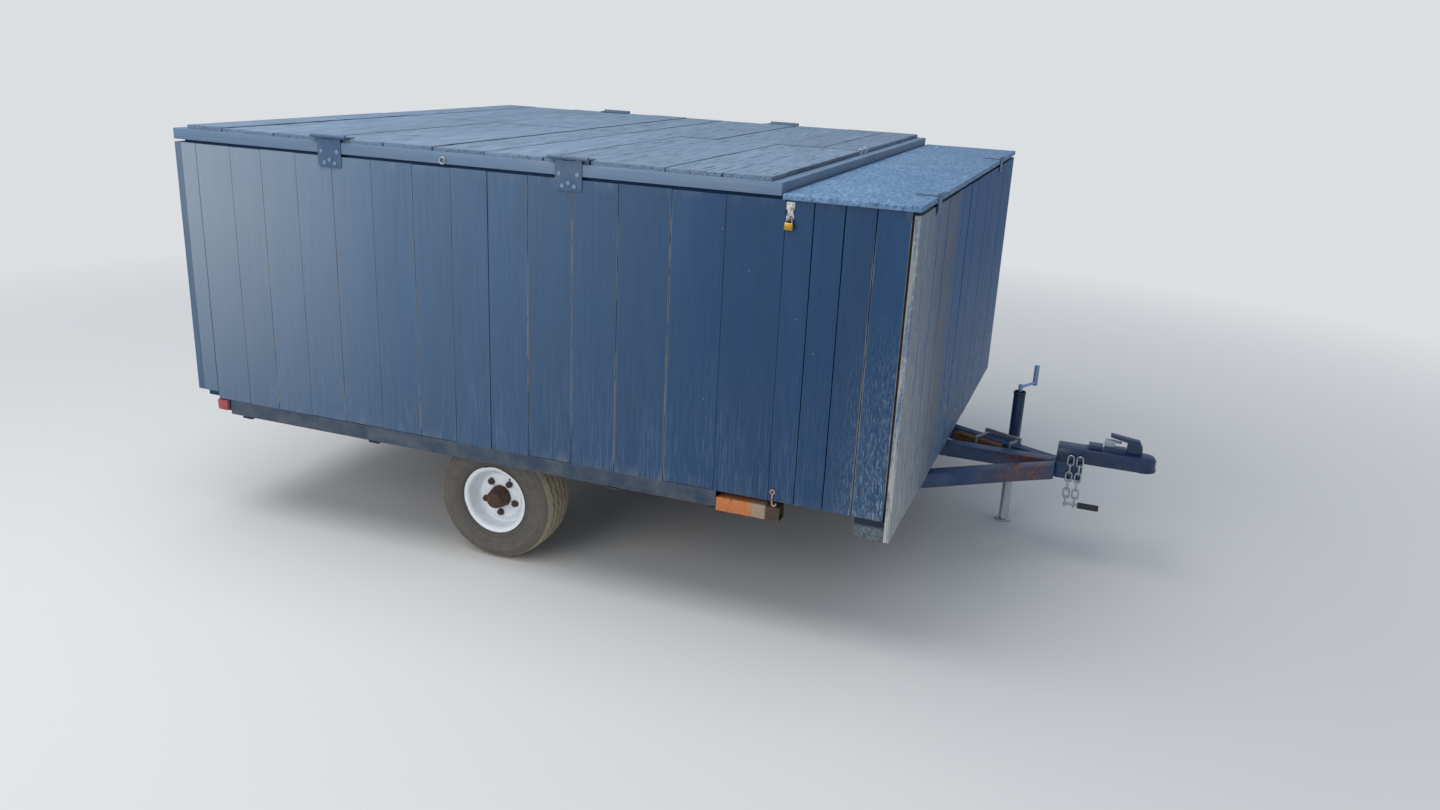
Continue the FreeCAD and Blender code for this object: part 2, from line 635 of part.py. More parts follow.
framing.append(box("header", ("header_width", inside, "rest_depth"),
                   (from_rear("leaf_front - header_width"), f"-{inside} / 2", rest_bottom)))
framing.append(box("header_ledge", ("lid_seam + rest_width", inside, ledger_depth),
                   (from_rear("leaf_front"), f"-{inside} / 2", rest_bottom)))
framing.append(box("ledger_front", ("rest_width", inside, ledger_depth),
                   ("wall_front - rest_width", f"-{inside} / 2", rest_bottom)))
part(fuse("box_framing", framing))

part(box("front_sill", ("sill_width", "box_width", "sill_height"),
         (sill_back, "-half_width", "wall_bottom - sill_height")))


# Tongue: a centre beam, a bent tube on the right and a slanted beam on the left
def slanted(label, width, height, start, end, bottom):
    """A bar of a given width between two points on the ground plan."""
    across = f"(({end[0]}) - ({start[0]}))"
    aside = f"(({end[1]}) - ({start[1]}))"
    length = f"sqrt({across} ^ 2 + {aside} ^ 2)"
    turn = Rotation(Vector(0, 0, 1), math.degrees(math.atan2(number(aside), number(across))))
    corner = (f"{start[0]} + {width} / 2 * {aside} / {length}",
              f"{start[1]} - {width} / 2 * {across} / {length}", bottom)
    return box(label, (length, width, height), corner, turn)


tall = "tongue_height + 2 * through"
part(box("tongue_beam", ("nose_back - tongue_back", "tongue_width", "tongue_height"),
         ("tongue_back", "-tongue_width / 2", "tongue_bottom")))


def trimmed(label, bar, corner):
    """A bar cut off at the centre beam and at the nose block's rear face."""
    return cut(label, bar, [
        box(f"{label}_beam_trim", ("box_length", "box_width", tall),
            ("tongue_back - box_length / 2", corner, "tongue_bottom - through")),
        box(f"{label}_nose_trim", ("box_length", "box_width", tall),
            ("nose_back", "-half_width", "tongue_bottom - through")),
    ])


right_slope = "((right_offset - bend_offset) / bend_reach)"
right_start = ("tongue_back", f"-(right_offset + {right_slope} * (box_front - tongue_back))")
right_bend = ("box_front + bend_reach", "-bend_offset")
right_end = ("nose_back + tube_entry", "-nose_width / 2 + tongue_width / 4")
part(trimmed("tongue_tube_right", fuse("right_tube", [
    slanted("right_tube_rear", "tongue_width", "tongue_height", right_start, right_bend, "tongue_bottom"),
    cylinder("right_tube_bend", "tongue_width / 2", "tongue_height", (*right_bend, "tongue_bottom")),
    slanted("right_tube_front", "tongue_width", "tongue_height", right_bend, right_end, "tongue_bottom"),
]), "-tongue_width / 2"))

left_start = ("tongue_back", "left_slope * (nose_back + tube_entry - tongue_back)")
left_end = ("nose_back + tube_entry", "0")
left_bar = slanted("left_beam", "left_beam_width", "tongue_height", left_start, left_end, "tongue_bottom")
part(trimmed("tongue_beam_left", left_bar, "tongue_width / 2 - box_width"))

part(box("tongue_nose", ("nose_length", "nose_width", "nose_drop + tongue_height + nose_rise"),
         ("nose_back", "-nose_width / 2", "tongue_bottom - nose_drop")))


# Coupler: an upside-down trough with a crowned back, ending in a domed cup
def crowned(half, height):
    """One half of the coupler's section, from its mouth to its crown."""
    return [
        (half, "0"),
        (half, f"{height} - crown_fall"),
        (f"{half} - crown_in", f"{height} - crown_drop"),
        (f"{half} - crown_flat", height),
    ]


def trough(label, half, height, length, x):
    rising = crowned(half, height)
    falling = [(f"-({across})", up) for across, up in reversed(rising)]
    return padded(label, "YZ_Plane", rising + falling, length, (x, "0", "nose_top"))


cup = revolved("coupler_cup", [
    ("0", "0"),
    ("cup_radius", "0"),
    ("cup_radius", "lip_height"),
    ("coupler_width / 2", "lip_height"),
    *crowned("coupler_width / 2", "coupler_height")[1:],
    ("0", "coupler_height"),
], ("ball_x", "0", "nose_top"))
neck_back = "(nose_back + nose_length)"
shell = [
    trough("coupler_sleeve", "nose_width / 2", "(coupler_height - sleeve_drop)", "nose_length", "nose_back"),
    trough("coupler_neck", "coupler_width / 2", "coupler_height", f"ball_x - {neck_back}", neck_back),
    cup,
]
strip_x = f"{neck_back} + strip_place"
for name, length, width, x in (
        ("rear", "rear_strip", "rear_strip_width", strip_x),
        ("front", "front_strip", "front_strip_width", f"{strip_x} + rear_strip + strip_gap")):
    shell.append(box(
        f"coupler_strip_{name}", (length, width, "strip_height"), (x, f"-{width} / 2", "coupler_top")))
for name, shift in CHAIN_PINS:
    reach = "(chain_stand + link_wire + 2 * chain_pin_head)"
    at = (f"nose_back + {shift}", f"-nose_width / 2 - {reach}", "nose_top + chain_pin_rise")
    shell.append(prism(f"chain_pin_{name}", 8, "link_wire / 2", f"{reach} + coupler_wall / 2", at, "y"))
    shell.append(prism(f"chain_pin_head_{name}", 6, "link_wire", "chain_pin_head", at, "y"))
under = "(coupler_height - sleeve_drop - coupler_wall)"
part(cut("coupler", fuse("coupler_shell", shell), [
    box("coupler_hollow",
        ("ball_x - socket_radius - 2 * coupler_wall - nose_back", "coupler_width - 2 * coupler_wall",
         f"{under} - crown_drop + through"),
        ("nose_back + coupler_wall", "-coupler_width / 2 + coupler_wall", "nose_top - through")),
    revolved("socket", [
        ("0", "-through"),
        ("socket_radius", "-through"),
        ("socket_radius", "ball_rise"),
        ("socket_radius * 0.8", "ball_rise + socket_radius * 0.6"),
        ("0", "ball_rise + socket_radius"),
    ], ("ball_x", "0", "nose_top")),
]))
latch_back = "latch_place + latch_foot"
part(padded("coupler_latch", "XZ_Plane", [
    ("-latch_place", "0"),
    ("-latch_place", "latch_height / 2"),
    ("-latch_place - latch_foot / 4", "latch_height"),
    ("-latch_place - lever_length", "latch_height + lever_rise"),
    ("-latch_place - lever_length", "latch_height + lever_rise - lever_thick"),
    (f"-({latch_back})", "latch_height - lever_thick"),
    (f"-({latch_back})", "0"),
], "latch_width", ("coupler_nose", "latch_width / 2", "coupler_top")))
lock_x = f"({strip_x} + rear_strip + strip_gap)"
lock_bottom = "(coupler_top + strip_height + seat_gap)"
shackle = padded("lock_shackle_bar", "XY_Plane", [
    ("0", "-lock_width / 2"),
    ("shackle_reach - lock_width / 2", "-lock_width / 2", "-lock_width / 2"),
    ("shackle_reach", "0", "-lock_width / 2"),
    ("shackle_reach - lock_width / 2", "lock_width / 2"),
    ("0", "lock_width / 2"),
    ("0", "lock_width / 2 - shackle_bar"),
    ("shackle_reach - lock_width / 2", "lock_width / 2 - shackle_bar", "lock_width / 2 - shackle_bar"),
    ("shackle_reach - shackle_bar", "0", "lock_width / 2 - shackle_bar"),
    ("shackle_reach - lock_width / 2", "-lock_width / 2 + shackle_bar"),
    ("0", "-lock_width / 2 + shackle_bar"),
], "shackle_bar", (f"{lock_x} + lock_length", "0", f"{lock_bottom} + lock_height - 1.5 * shackle_bar"))
part(fuse("coupler_lock", [
    box("lock_body_box", ("lock_length", "lock_width", "lock_height"),
        (lock_x, "-lock_width / 2", lock_bottom)),
    shackle,
]))

# Axle with a spindle at each end
axle_half = "(wheel_y - axle_short)"
spindle_length = "(axle_short + hub_outer - nut_height)"
axle_pieces = [box("axle_beam", ("axle_tube", f"2 * {axle_half}", "axle_tube"),
                   ("axle_x - axle_tube / 2", f"-{axle_half}", "axle_z - axle_tube / 2"))]
for name, side in SIDES:
    start = outward(side, axle_half, spindle_length)
    axle_pieces.append(cylinder(
        f"spindle_{name}", "spindle", spindle_length, ("axle_x", start, "axle_z"), "y"))
part(fuse("axle", axle_pieces))

# Leaf springs, and the hangers that hold their eyes
LEAF_REACH = [1.0, 0.72, 0.45]
spring_seat = "(axle_z + axle_tube / 2)"
full_rise = "(eye_z - eye_radius - axle_z - axle_tube / 2 - 2 * spring_leaf)"
springs, hangers = [], []
for name, side in SIDES:
    start = outward(side, "spring_y - spring_width / 2", "spring_width")
    leaves = []
    for step, reach in enumerate(LEAF_REACH):
        half = f"({reach} * spring_half)"
        rise = f"({full_rise} * {reach} ^ 2)"
        low = f"{len(LEAF_REACH) - 1 - step} * spring_leaf"
        curve = f"({half} ^ 2 + {rise} ^ 2) / (2 * {rise})"
        leaves.append(padded(f"leaf_{name}_{step}", "XZ_Plane", [
            (f"-{half}", f"{low} + {rise}", f"-({curve})"),
            (half, f"{low} + {rise}"),
            (half, f"{low} + {rise} + spring_leaf", curve),
            (f"-{half}", f"{low} + {rise} + spring_leaf"),
        ], "spring_width", ("axle_x", f"{start} + spring_width", spring_seat)))
    bores = []
    for where, sign in (("rear", -1), ("front", 1)):
        x = f"axle_x + {sign} * spring_half"
        leaves.append(cylinder(f"eye_{name}_{where}", "eye_radius", "spring_width", (x, start, "eye_z"), "y"))
        bores.append(prism(f"eye_bore_{name}_{where}", 8, "eye_bolt + seat_gap", "spring_width + 2 * through",
                              (x, f"{start} - through", "eye_z"), "y"))
        # A hanger has two plates, a bridge under the channel and a bolt.
        around = "(eye_radius + cheek_margin)"
        pieces = []
        for edge, inner in (("inner", "spring_y - spring_width / 2 - cheek - seat_gap"),
                            ("outer", "spring_y + spring_width / 2 + seat_gap")):
            pieces.append(box(
                f"cheek_{name}_{where}_{edge}", (f"2 * {around}", "cheek", f"eye_drop + {around}"),
                (f"{x} - {around}", outward(side, inner, "cheek"), f"eye_z - {around}")))
        span = "(spring_width + 2 * seat_gap)"
        pieces.append(box(
            f"bridge_{name}_{where}", (f"2 * {around}", span, "cheek"),
            (f"{x} - {around}", outward(side, f"spring_y - {span} / 2", span), "channel_bottom - cheek")))
        bolt = "(spring_width + 2 * cheek + 2 * nut_height)"
        pieces.append(prism(f"eye_bolt_{name}_{where}", 8, "eye_bolt", bolt,
                            (x, outward(side, f"spring_y - {bolt} / 2", bolt), "eye_z"), "y"))
        hangers.append(fuse(f"hanger_{name}_{where}", pieces))
    springs.append(cut(f"spring_{name}", fuse(f"spring_{name}_whole", leaves), bores))
part(group("leaf_springs", springs))
part(group("spring_hangers", hangers))

# Wheels: the outlines run in (radius, distance outward from the wheel's middle)
OUT = {-1: Rotation(Vector(1, 0, 0), 90), 1: Rotation(Vector(1, 0, 0), -90)}


def round_the_studs(side, inner, length):
    """Base points on the stud circle for pieces that begin at distance inner."""
    for index in range(int(number("stud_count"))):
        angle = f"(90 + 360 / stud_count * {index})"
        yield index, (f"axle_x + stud_circle * cos({angle})",
                      outward(side, f"wheel_y + {inner}", length),
                      f"axle_z + stud_circle * sin({angle})")


bead = "(rim_seat + seat_gap)"
bead_half = "(rim_width / 2 - seat_gap)"
widest = "(rim_flange + sidewall_rise)"
disc_back = "(disc_offset - rim_sheet)"
for name, side in SIDES:
    centre = ("axle_x", mirrored(side, "wheel_y"), "axle_z")
    part(revolved(f"tyre_{name}", [
        (bead, f"-{bead_half}"),
        (bead, bead_half),
        ("rim_flange + bead_lip", bead_half),
        (widest, "tyre_width / 2"),
        ("tyre_radius", "tread_width / 2"),
        ("tyre_radius", "-tread_width / 2"),
        (widest, "-tyre_width / 2"),
        ("rim_flange + bead_lip", f"-{bead_half}"),
    ], centre, OUT[side]))
    barrel = "(rim_seat - rim_sheet)"
    rim = revolved(f"rim_{name}_turned", [
        ("hub_bore", "disc_offset"),
        ("stud_circle + disc_rim", "disc_offset"),
        (barrel, "disc_offset - disc_dish"),
        (barrel, "rim_width / 2 + rim_sheet"),
        ("rim_flange", "rim_width / 2 + rim_sheet"),
        ("rim_seat", "rim_width / 2"),
        ("rim_seat", "-rim_width / 2"),
        ("rim_flange", "-rim_width / 2 - rim_sheet"),
        (barrel, "-rim_width / 2 - rim_sheet"),
        (barrel, "disc_offset - disc_dish - rim_sheet"),
        ("stud_circle + disc_rim", disc_back),
        ("hub_bore", disc_back),
    ], centre, OUT[side])
    deep = "(rim_sheet + 2 * through)"
    holes = [prism(f"rim_{name}_hole_{index}", 8, "stud_radius * 1.2", deep, at, "y")
             for index, at in round_the_studs(side, f"{disc_back} - through", deep)]
    part(cut(f"rim_{name}", rim, holes))
    hub_disc = "(stud_circle + disc_rim)"
    flange_front = f"({disc_back} - seat_gap)"
    pieces = [revolved(f"hub_{name}_turned", [
        ("spindle + seat_gap", "-hub_inner"),
        ("hub_radius", "-hub_inner"),
        ("hub_radius", f"{flange_front} - flange_thick"),
        (hub_disc, f"{flange_front} - flange_thick"),
        (hub_disc, flange_front),
        ("hub_radius", flange_front),
        ("hub_radius", "hub_outer"),
        ("cap_radius", "hub_outer"),
        ("cap_radius * 0.8", "hub_outer + cap_length"),
        ("0", "hub_outer + cap_length"),
        ("0", "hub_outer - nut_height / 2"),
        ("spindle + seat_gap", "hub_outer - nut_height / 2"),
    ], centre, OUT[side])]
    for index, at in round_the_studs(side, "disc_offset + seat_gap", "nut_height"):
        pieces.append(prism(f"nut_{name}_{index}", 6, "nut_radius", "nut_height", at, "y"))
    shank = "(nut_height + rim_sheet + flange_thick)"
    for index, at in round_the_studs(side, f"{flange_front} - flange_thick / 2", shank):
        pieces.append(prism(f"stud_{name}_{index}", 6, "stud_radius", shank, at, "y"))
    part(fuse(f"hub_{name}", pieces))

# Roof: two lid leaves hinged at the outer top edges
plates = []
third = "(hinge_width / 3)"
flap_edge = "(pin_y - knuckle - 2 * knuckle_gap)"
knuckle_clear = "(knuckle + 5 * knuckle_gap)"
for name, side in SIDES:
    across = "(half_width - centre_gap / 2)"
    bars = []
    for edge, start in (("outer", outward(side, "half_width - leaf_bar_width", "leaf_bar_width")),
                        ("inner", outward(side, "centre_gap / 2", "leaf_bar_width"))):
        bars.append(box(f"leaf_{name}_{edge}", ("leaf_front", "leaf_bar_width", "leaf_bar"),
                        ("box_rear", start, "rest_top")))
    for where, x in (("rear", "0"), ("middle", "leaf_front / 2 - leaf_bar_width / 2"),
                     ("front", "leaf_front - leaf_bar_width")):
        bars.append(box(f"leaf_{name}_{where}", ("leaf_bar_width", across, "leaf_bar"),
                        (from_rear(x), outward(side, "centre_gap / 2", across), "rest_top")))
    part(fuse(f"leaf_frame_{name}", bars))
    reach = "(half_width - board_side - centre_gap / 2)"
    cover = box(f"leaf_{name}_cover", ("leaf_front - board_rear - board_front", reach, "leaf_board"),
                (from_rear("board_rear"), outward(side, "centre_gap / 2", reach), "bar_top"))
    grooves = []
    for index, share in enumerate(LID_SEAMS):
        grooves.append(box(f"leaf_{name}_groove_{index}", ("seam_width", "half_width", "seam_depth"),
                           (from_rear(f"{share} * leaf_front - seam_width / 2"),
                            outward(side, "0", "half_width"), "board_top - seam_depth")))
    part(cut(f"leaf_boards_{name}", cover, grooves))
    flaps = []
    pin_line = mirrored(side, "pin_y")
    for where, middle in LEAF_HINGES:
        tag = f"{name}_{where}"
        x = from_rear(f"{middle} - hinge_width / 2")
        inner_x = f"{x} + {third} + knuckle_gap"
        inner_length = f"({third} - 2 * knuckle_gap)"
        flap = box(f"flap_{tag}", ("hinge_width", "flap_depth", "hinge_sheet"),
                   (x, outward(side, f"{flap_edge} - flap_depth", "flap_depth"), "board_top"))
        web = box(f"flap_web_{tag}", (inner_length, f"pin_y - {flap_edge}", "hinge_sheet"),
                  (inner_x, outward(side, flap_edge, f"pin_y - {flap_edge}"), "board_top"))
        roll = prism(f"flap_knuckle_{tag}", 12, "knuckle", inner_length, (inner_x, pin_line, "pin_z"), "x")
        bore = prism(f"flap_bore_{tag}", 8, "hinge_pin + pin_gap", "hinge_width + 2 * through",
                        (f"{x} - through", pin_line, "pin_z"), "x")
        flaps.append(cut(f"hinge_flap_{tag}", fuse(f"flap_whole_{tag}", [flap, web, roll]), [bore]))
        # The wall plate hangs outside the leaf's edge and is screwed to the wall.
        top = "(pin_z - wall_top + plate_drop)"
        plate = padded(f"plate_{tag}", "XZ_Plane", [
            ("-plate_width / 2 + plate_round", "0"),
            ("plate_width / 2 - plate_round", "0", "-plate_round"),
            ("plate_width / 2", "plate_round"),
            ("plate_width / 2", top),
            ("-plate_width / 2", top),
            ("-plate_width / 2", "plate_round", "-plate_round"),
        ], "hinge_sheet", (
            from_rear(middle), f"{outward(side, 'half_width + seat_gap', 'hinge_sheet')} + hinge_sheet",
            "wall_top - plate_drop"))
        clear = prism(f"plate_clear_{tag}", 12, knuckle_clear, third,
                      (f"{x} + {third}", pin_line, "pin_z"), "x")
        rolls = [prism(f"plate_knuckle_{tag}_{end}", 12, "knuckle", third,
                       (f"{x} + {shift}", pin_line, "pin_z"), "x")
                 for end, shift in (("rear", "0"), ("front", f"2 * {third}"))]
        pin = prism(f"plate_pin_{tag}", 8, "hinge_pin", "hinge_width", (x, pin_line, "pin_z"), "x")
        body = cut(f"plate_body_{tag}", plate, [clear])
        plates.append(fuse(f"hinge_plate_{tag}", [body, *rolls, pin]))
    part(group(f"leaf_flaps_{name}", flaps))

# Front lid, hinged at the box's front top edge
part(box("front_lid", ("front_lid_depth", "box_width + 2 * lid_overhang", "front_lid"),
         (from_rear("leaf_front + lid_seam"), "-half_width - lid_overhang", "lid_bottom")))
strap_edge = "(front_pin_x - knuckle - 2 * knuckle_gap)"
straps = []
roll_third = "(strap_roll / 3)"
for name, y in LID_HINGES:
    inner_y = f"{y} - {roll_third} / 2 + knuckle_gap"
    inner_length = f"({roll_third} - 2 * knuckle_gap)"
    strap = box(f"strap_{name}", ("strap_length", "strap_width", "hinge_sheet"),
                (f"{strap_edge} - strap_length", f"{y} - strap_width / 2", "lid_top"))
    web = box(f"strap_web_{name}", (f"front_pin_x - {strap_edge}", inner_length, "hinge_sheet"),
              (strap_edge, inner_y, "lid_top"))
    roll = prism(
        f"strap_knuckle_{name}", 12, "knuckle", inner_length, ("front_pin_x", inner_y, "front_pin_z"), "y")
    bore = prism(f"strap_bore_{name}", 8, "hinge_pin + pin_gap", "strap_roll + 2 * through",
                    ("front_pin_x", f"{y} - strap_roll / 2 - through", "front_pin_z"), "y")
    straps.append(cut(f"lid_strap_{name}", fuse(f"strap_whole_{name}", [strap, web, roll]), [bore]))
    plate = box(f"front_plate_{name}", ("hinge_sheet", "strap_roll", "front_pin_z - wall_top + strap_drop"),
                ("box_front + seat_gap", f"{y} - strap_roll / 2", "wall_top - strap_drop"))
    clear = prism(f"front_clear_{name}", 12, knuckle_clear, roll_third,
                     ("front_pin_x", f"{y} - {roll_third} / 2", "front_pin_z"), "y")
    rolls = [prism(f"front_roll_{name}_{end}", 12, "knuckle", roll_third,
                      ("front_pin_x", f"{y} + {shift} * {roll_third}", "front_pin_z"), "y")
             for end, shift in (("right", "-1.5"), ("left", "0.5"))]
    pin = prism(f"front_pin_{name}", 8, "hinge_pin", "strap_roll",
                ("front_pin_x", f"{y} - strap_roll / 2", "front_pin_z"), "y")
    body = cut(f"front_body_{name}", plate, [clear])
    plates.append(fuse(f"front_hinge_{name}", [body, *rolls, pin]))
part(group("front_lid_straps", straps))
part(group("hinge_plates", plates))

# Hasp and padlock on the right wall, below the front lid's edge
hasp_x = "box_front - hasp_place"
hasp_face = "(half_width + seat_gap + hinge_sheet)"
hasp_bottom = "wall_top - hasp_top - hasp_length"
strap = padded("hasp_strap", "XZ_Plane", [
    ("-hasp_width / 4", "0"),
    ("hasp_width / 4", "0"),
    ("hasp_width / 2", "hasp_width / 3"),
    ("hasp_waist / 2", "hasp_length / 2"),
    ("hasp_width / 2", "hasp_length / 2 + hasp_width / 4"),
    ("hasp_width / 2", "hasp_length"),
    ("-hasp_width / 2", "hasp_length"),
    ("-hasp_width / 2", "hasp_length / 2 + hasp_width / 4"),
    ("-hasp_waist / 2", "hasp_length / 2"),
    ("-hasp_width / 2", "hasp_width / 3"),
], "hinge_sheet", (hasp_x, "-half_width - seat_gap", hasp_bottom))
loop = padded("hasp_loop", "YZ_Plane", [
    ("0", "0"),
    ("0", "loop_height"),
    ("-loop_reach", "loop_height * 0.75"),
    ("-loop_reach", "loop_height * 0.25"),
], "loop_wire", (f"{hasp_x} - loop_wire / 2", f"-{hasp_face}", hasp_bottom))
eye_y = f"-{hasp_face} - loop_reach * 0.7"
eye = box("hasp_eye", ("loop_wire + 2 * through", "loop_reach / 2", "loop_height / 2"),
          (f"{hasp_x} - loop_wire / 2 - through", eye_y, f"{hasp_bottom} + loop_height / 4"))
part(cut("hasp", fuse("hasp_whole", [strap, loop]), [eye]))
shackle_z = f"{hasp_bottom} + loop_height / 4 + loop_height / 3"
lock_z = f"({shackle_z} - lock_tall + lock_bar / 2 - lock_shackle - lock_stand)"
lock_y = f"(-{hasp_face} - loop_reach * 0.45)"
part(fuse("padlock", [
    box("padlock_body", ("lock_body", "lock_depth", "lock_tall"),
        (f"{hasp_x} - lock_body / 2", f"{lock_y} - lock_depth / 2", lock_z)),
    padded("padlock_shackle", "XZ_Plane", [
        ("-lock_shackle", "0"),
        ("lock_bar - lock_shackle", "0"),
        ("lock_bar - lock_shackle", "lock_stand", "lock_shackle - lock_bar"),
        ("0", "lock_stand + lock_shackle - lock_bar", "lock_shackle - lock_bar"),
        ("lock_shackle - lock_bar", "lock_stand"),
        ("lock_shackle - lock_bar", "0"),
        ("lock_shackle", "0"),
        ("lock_shackle", "lock_stand", "-lock_shackle"),
        ("0", "lock_stand + lock_shackle", "-lock_shackle"),
        ("-lock_shackle", "lock_stand"),
    ], "lock_bar", (hasp_x, f"{lock_y} + lock_bar / 2", f"{lock_z} + lock_tall")),
]))

# Tail lamps under the rear corners
lamps = []
for name, side in SIDES:
    lamps.append(box(f"lamp_{name}", ("lamp_length", "lamp_width", "lamp_height"),
                     (from_rear("lamp_place"), outward(side, "half_width - lamp_width", "lamp_width"),
                      "wall_bottom - lamp_height - seat_gap")))
part(group("tail_lamps", lamps))

# Jack on the left beam: bracket, pivot stub, swinging tube, leg and crank
slope = number("left_slope")
along = Vector(1, -slope, 0).normalize()
normal = Vector(slope, 1, 0).normalize()
BESIDE = Rotation(Vector(0, 0, 1), normal)
pivot_place = [round(number(f"pivot_{axis}"), 3) for axis in "xyz"]
print("jack pivot", pivot_place, "axis", [round(-c, 6) for c in normal])


def off_beam(shift, out, bottom):
    """A point by its shift along the left beam and its distance out from its middle."""
    return (f"jack_x + (({shift}) + left_slope * ({out})) / left_scale",
            f"jack_y + (({out}) - left_slope * ({shift})) / left_scale", bottom)


def on_left_beam(label, size, shift, out, bottom):
    """A block laid along the left beam; shift is to its middle, out to its near face."""
    corner = off_beam(f"{shift} - ({size[0]}) / 2", out, bottom)
    return box(label, size, corner, Rotation(Vector(1, 0, 0), along))


half_beam = "left_beam_width / 2"
bracket_pieces = [
    on_left_beam("jack_plate", ("plate_length", "bracket_plate", "plate_height"), "0", half_beam,
                 "pivot_z - plate_height / 2"),
    cylinder("jack_stub_bar", "stub_radius", "jack_stub + bracket_plate / 2",
             off_beam("0", f"{half_beam} + bracket_plate / 2", "pivot_z"), BESIDE),
    cylinder("jack_swivel", "swivel_radius", "swivel_thick",
             off_beam("0", f"{half_beam} + bracket_plate", "pivot_z"), BESIDE),
]
bolt_top = "tongue_bottom + tongue_height + seat_gap"
for name, shift, held in (("rear", "-bolt_spacing / 2", "block_depth"), ("front", "bolt_spacing / 2", "0")):
    leg = ("bolt_bar", "bolt_bar", f"{bolt_top} + bolt_bar - tongue_bottom + bolt_tail")
    inner = f"-{half_beam} - {held} - bolt_bar - seat_gap"
    around = f"left_beam_width + {held} + bracket_plate + 2 * bolt_bar + seat_gap"
    bracket_pieces += [
        on_left_beam(f"bolt_inner_{name}", leg, shift, inner, "tongue_bottom - bolt_tail"),
        on_left_beam(f"bolt_outer_{name}", leg, shift, f"{half_beam} + bracket_plate",
                     "tongue_bottom - bolt_tail"),
        on_left_beam(f"bolt_over_{name}", ("bolt_bar", around, "bolt_bar"), shift, inner, bolt_top),
        on_left_beam(f"bolt_clamp_{name}", ("clamp_width", f"{around} + bolt_bar", "clamp_thick"),
                     shift, f"{inner} - bolt_bar / 2", "tongue_bottom - clamp_thick - seat_gap"),
    ]
part(fuse("jack_bracket", bracket_pieces))
part(on_left_beam("tongue_block", ("block_length", "block_depth", "block_height"), "-block_back",
                  f"-{half_beam} - block_depth", "tongue_bottom + (tongue_height - block_height) / 2"))

tube_bottom = "pivot_z - jack_below"
leg_radius = "jack_radius - jack_wall - seat_gap"
jack_outer = cylinder("jack_tube_outer", "jack_radius", "jack_above + jack_below",
                      ("pivot_x", "pivot_y", tube_bottom))
part(cut("jack_tube", jack_outer, [
    cylinder("jack_tube_bore", "jack_radius - jack_wall", "through + jack_below + jack_above / 2",
             ("pivot_x", "pivot_y", f"{tube_bottom} - through")),
]))
part(fuse("jack_leg", [
    cylinder("jack_leg_tube", leg_radius, f"{tube_bottom} + leg_overlap", ("pivot_x", "pivot_y", "0")),
    cylinder("jack_foot", "foot_radius", "foot_thick", ("pivot_x", "pivot_y", "0")),
]))
tube_top = "pivot_z + jack_above"
part(fuse("jack_crank", [
    cylinder("crank_hub", "crank_radius * 1.6", "crank_rise + 2 * crank_radius",
             ("pivot_x", "pivot_y", tube_top)),
    cylinder("crank_arm", "crank_radius", "crank_reach",
             ("pivot_x", "pivot_y", f"{tube_top} + crank_rise"), BESIDE),
    cylinder("crank_grip", "grip_radius", "grip_length",
             ("pivot_x + crank_reach * left_slope / left_scale", "pivot_y + crank_reach / left_scale",
              f"{tube_top} + crank_rise - 2 * crank_radius")),
]))


# Safety chains on the coupler's right: flat links, every other one turned
def ring(label, turned, centre):
    """A link with cut corners, upright along Z, in the XZ plane or turned into the YZ plane."""
    solid = []
    for which, spare, thick in (
            ("outer", "link_wire", "link_wire"),
            ("inner", "0", "link_wire + 2 * through")):
        edge, end = f"(link_gap / 2 + {spare})", f"(link_inner / 2 + {spare})"
        bevel = f"({edge} * 0.6)"
        corners = []
        for across, up in ((1, 1), (-1, 1), (-1, -1), (1, -1)):
            tall_corner = (f"{across} * {edge}", f"{up} * ({end} - {bevel})")
            wide_corner = (f"{across} * ({edge} - {bevel})", f"{up} * {end}")
            corners += [tall_corner, wide_corner] if across * up > 0 else [wide_corner, tall_corner]
        shift = f"({thick}) / 2"
        at = (centre[0], f"{centre[1]} + {shift}", centre[2])
        if turned:
            at = (f"{centre[0]} - {shift}", centre[1], centre[2])
        solid.append(padded(f"{label}_{which}", "YZ_Plane" if turned else "XZ_Plane", corners, thick, at))
    return cut(label, solid[0], [solid[1]])


chain_y = "(-nose_width / 2 - chain_stand)"
chain_top = "(nose_top + chain_pin_rise + link_wire / 2 + seat_gap)"
pitch = "(link_inner - 2 * seat_gap)"
links = []
count = int(number("link_count"))
for name, shift in CHAIN_PINS:
    for index in range(count):
        centre = (f"nose_back + {shift}", chain_y, f"{chain_top} - link_inner / 2 - {index} * {pitch}")
        links.append(ring(f"link_{name}_{index}", index % 2 == 1, centre))
# The bar lies in the last links of both chains and carries a black grip.
bar_z = f"({chain_top} - {count - 1} * {pitch} - link_inner + chain_bar + seat_gap)"
bar_x = f"(nose_back + {CHAIN_PINS[0][1]} - link_wire)"
links.append(fuse("chain_bar_whole", [
    cylinder("chain_bar_rod", "chain_bar", "chain_bar_length", (bar_x, chain_y, bar_z), "x"),
    cylinder("chain_bar_grip", "grip_tube", "grip_tube_length",
             (f"{bar_x} + chain_bar_length - grip_tube_length", chain_y, bar_z), "x"),
]))
part(group("safety_chains", links))

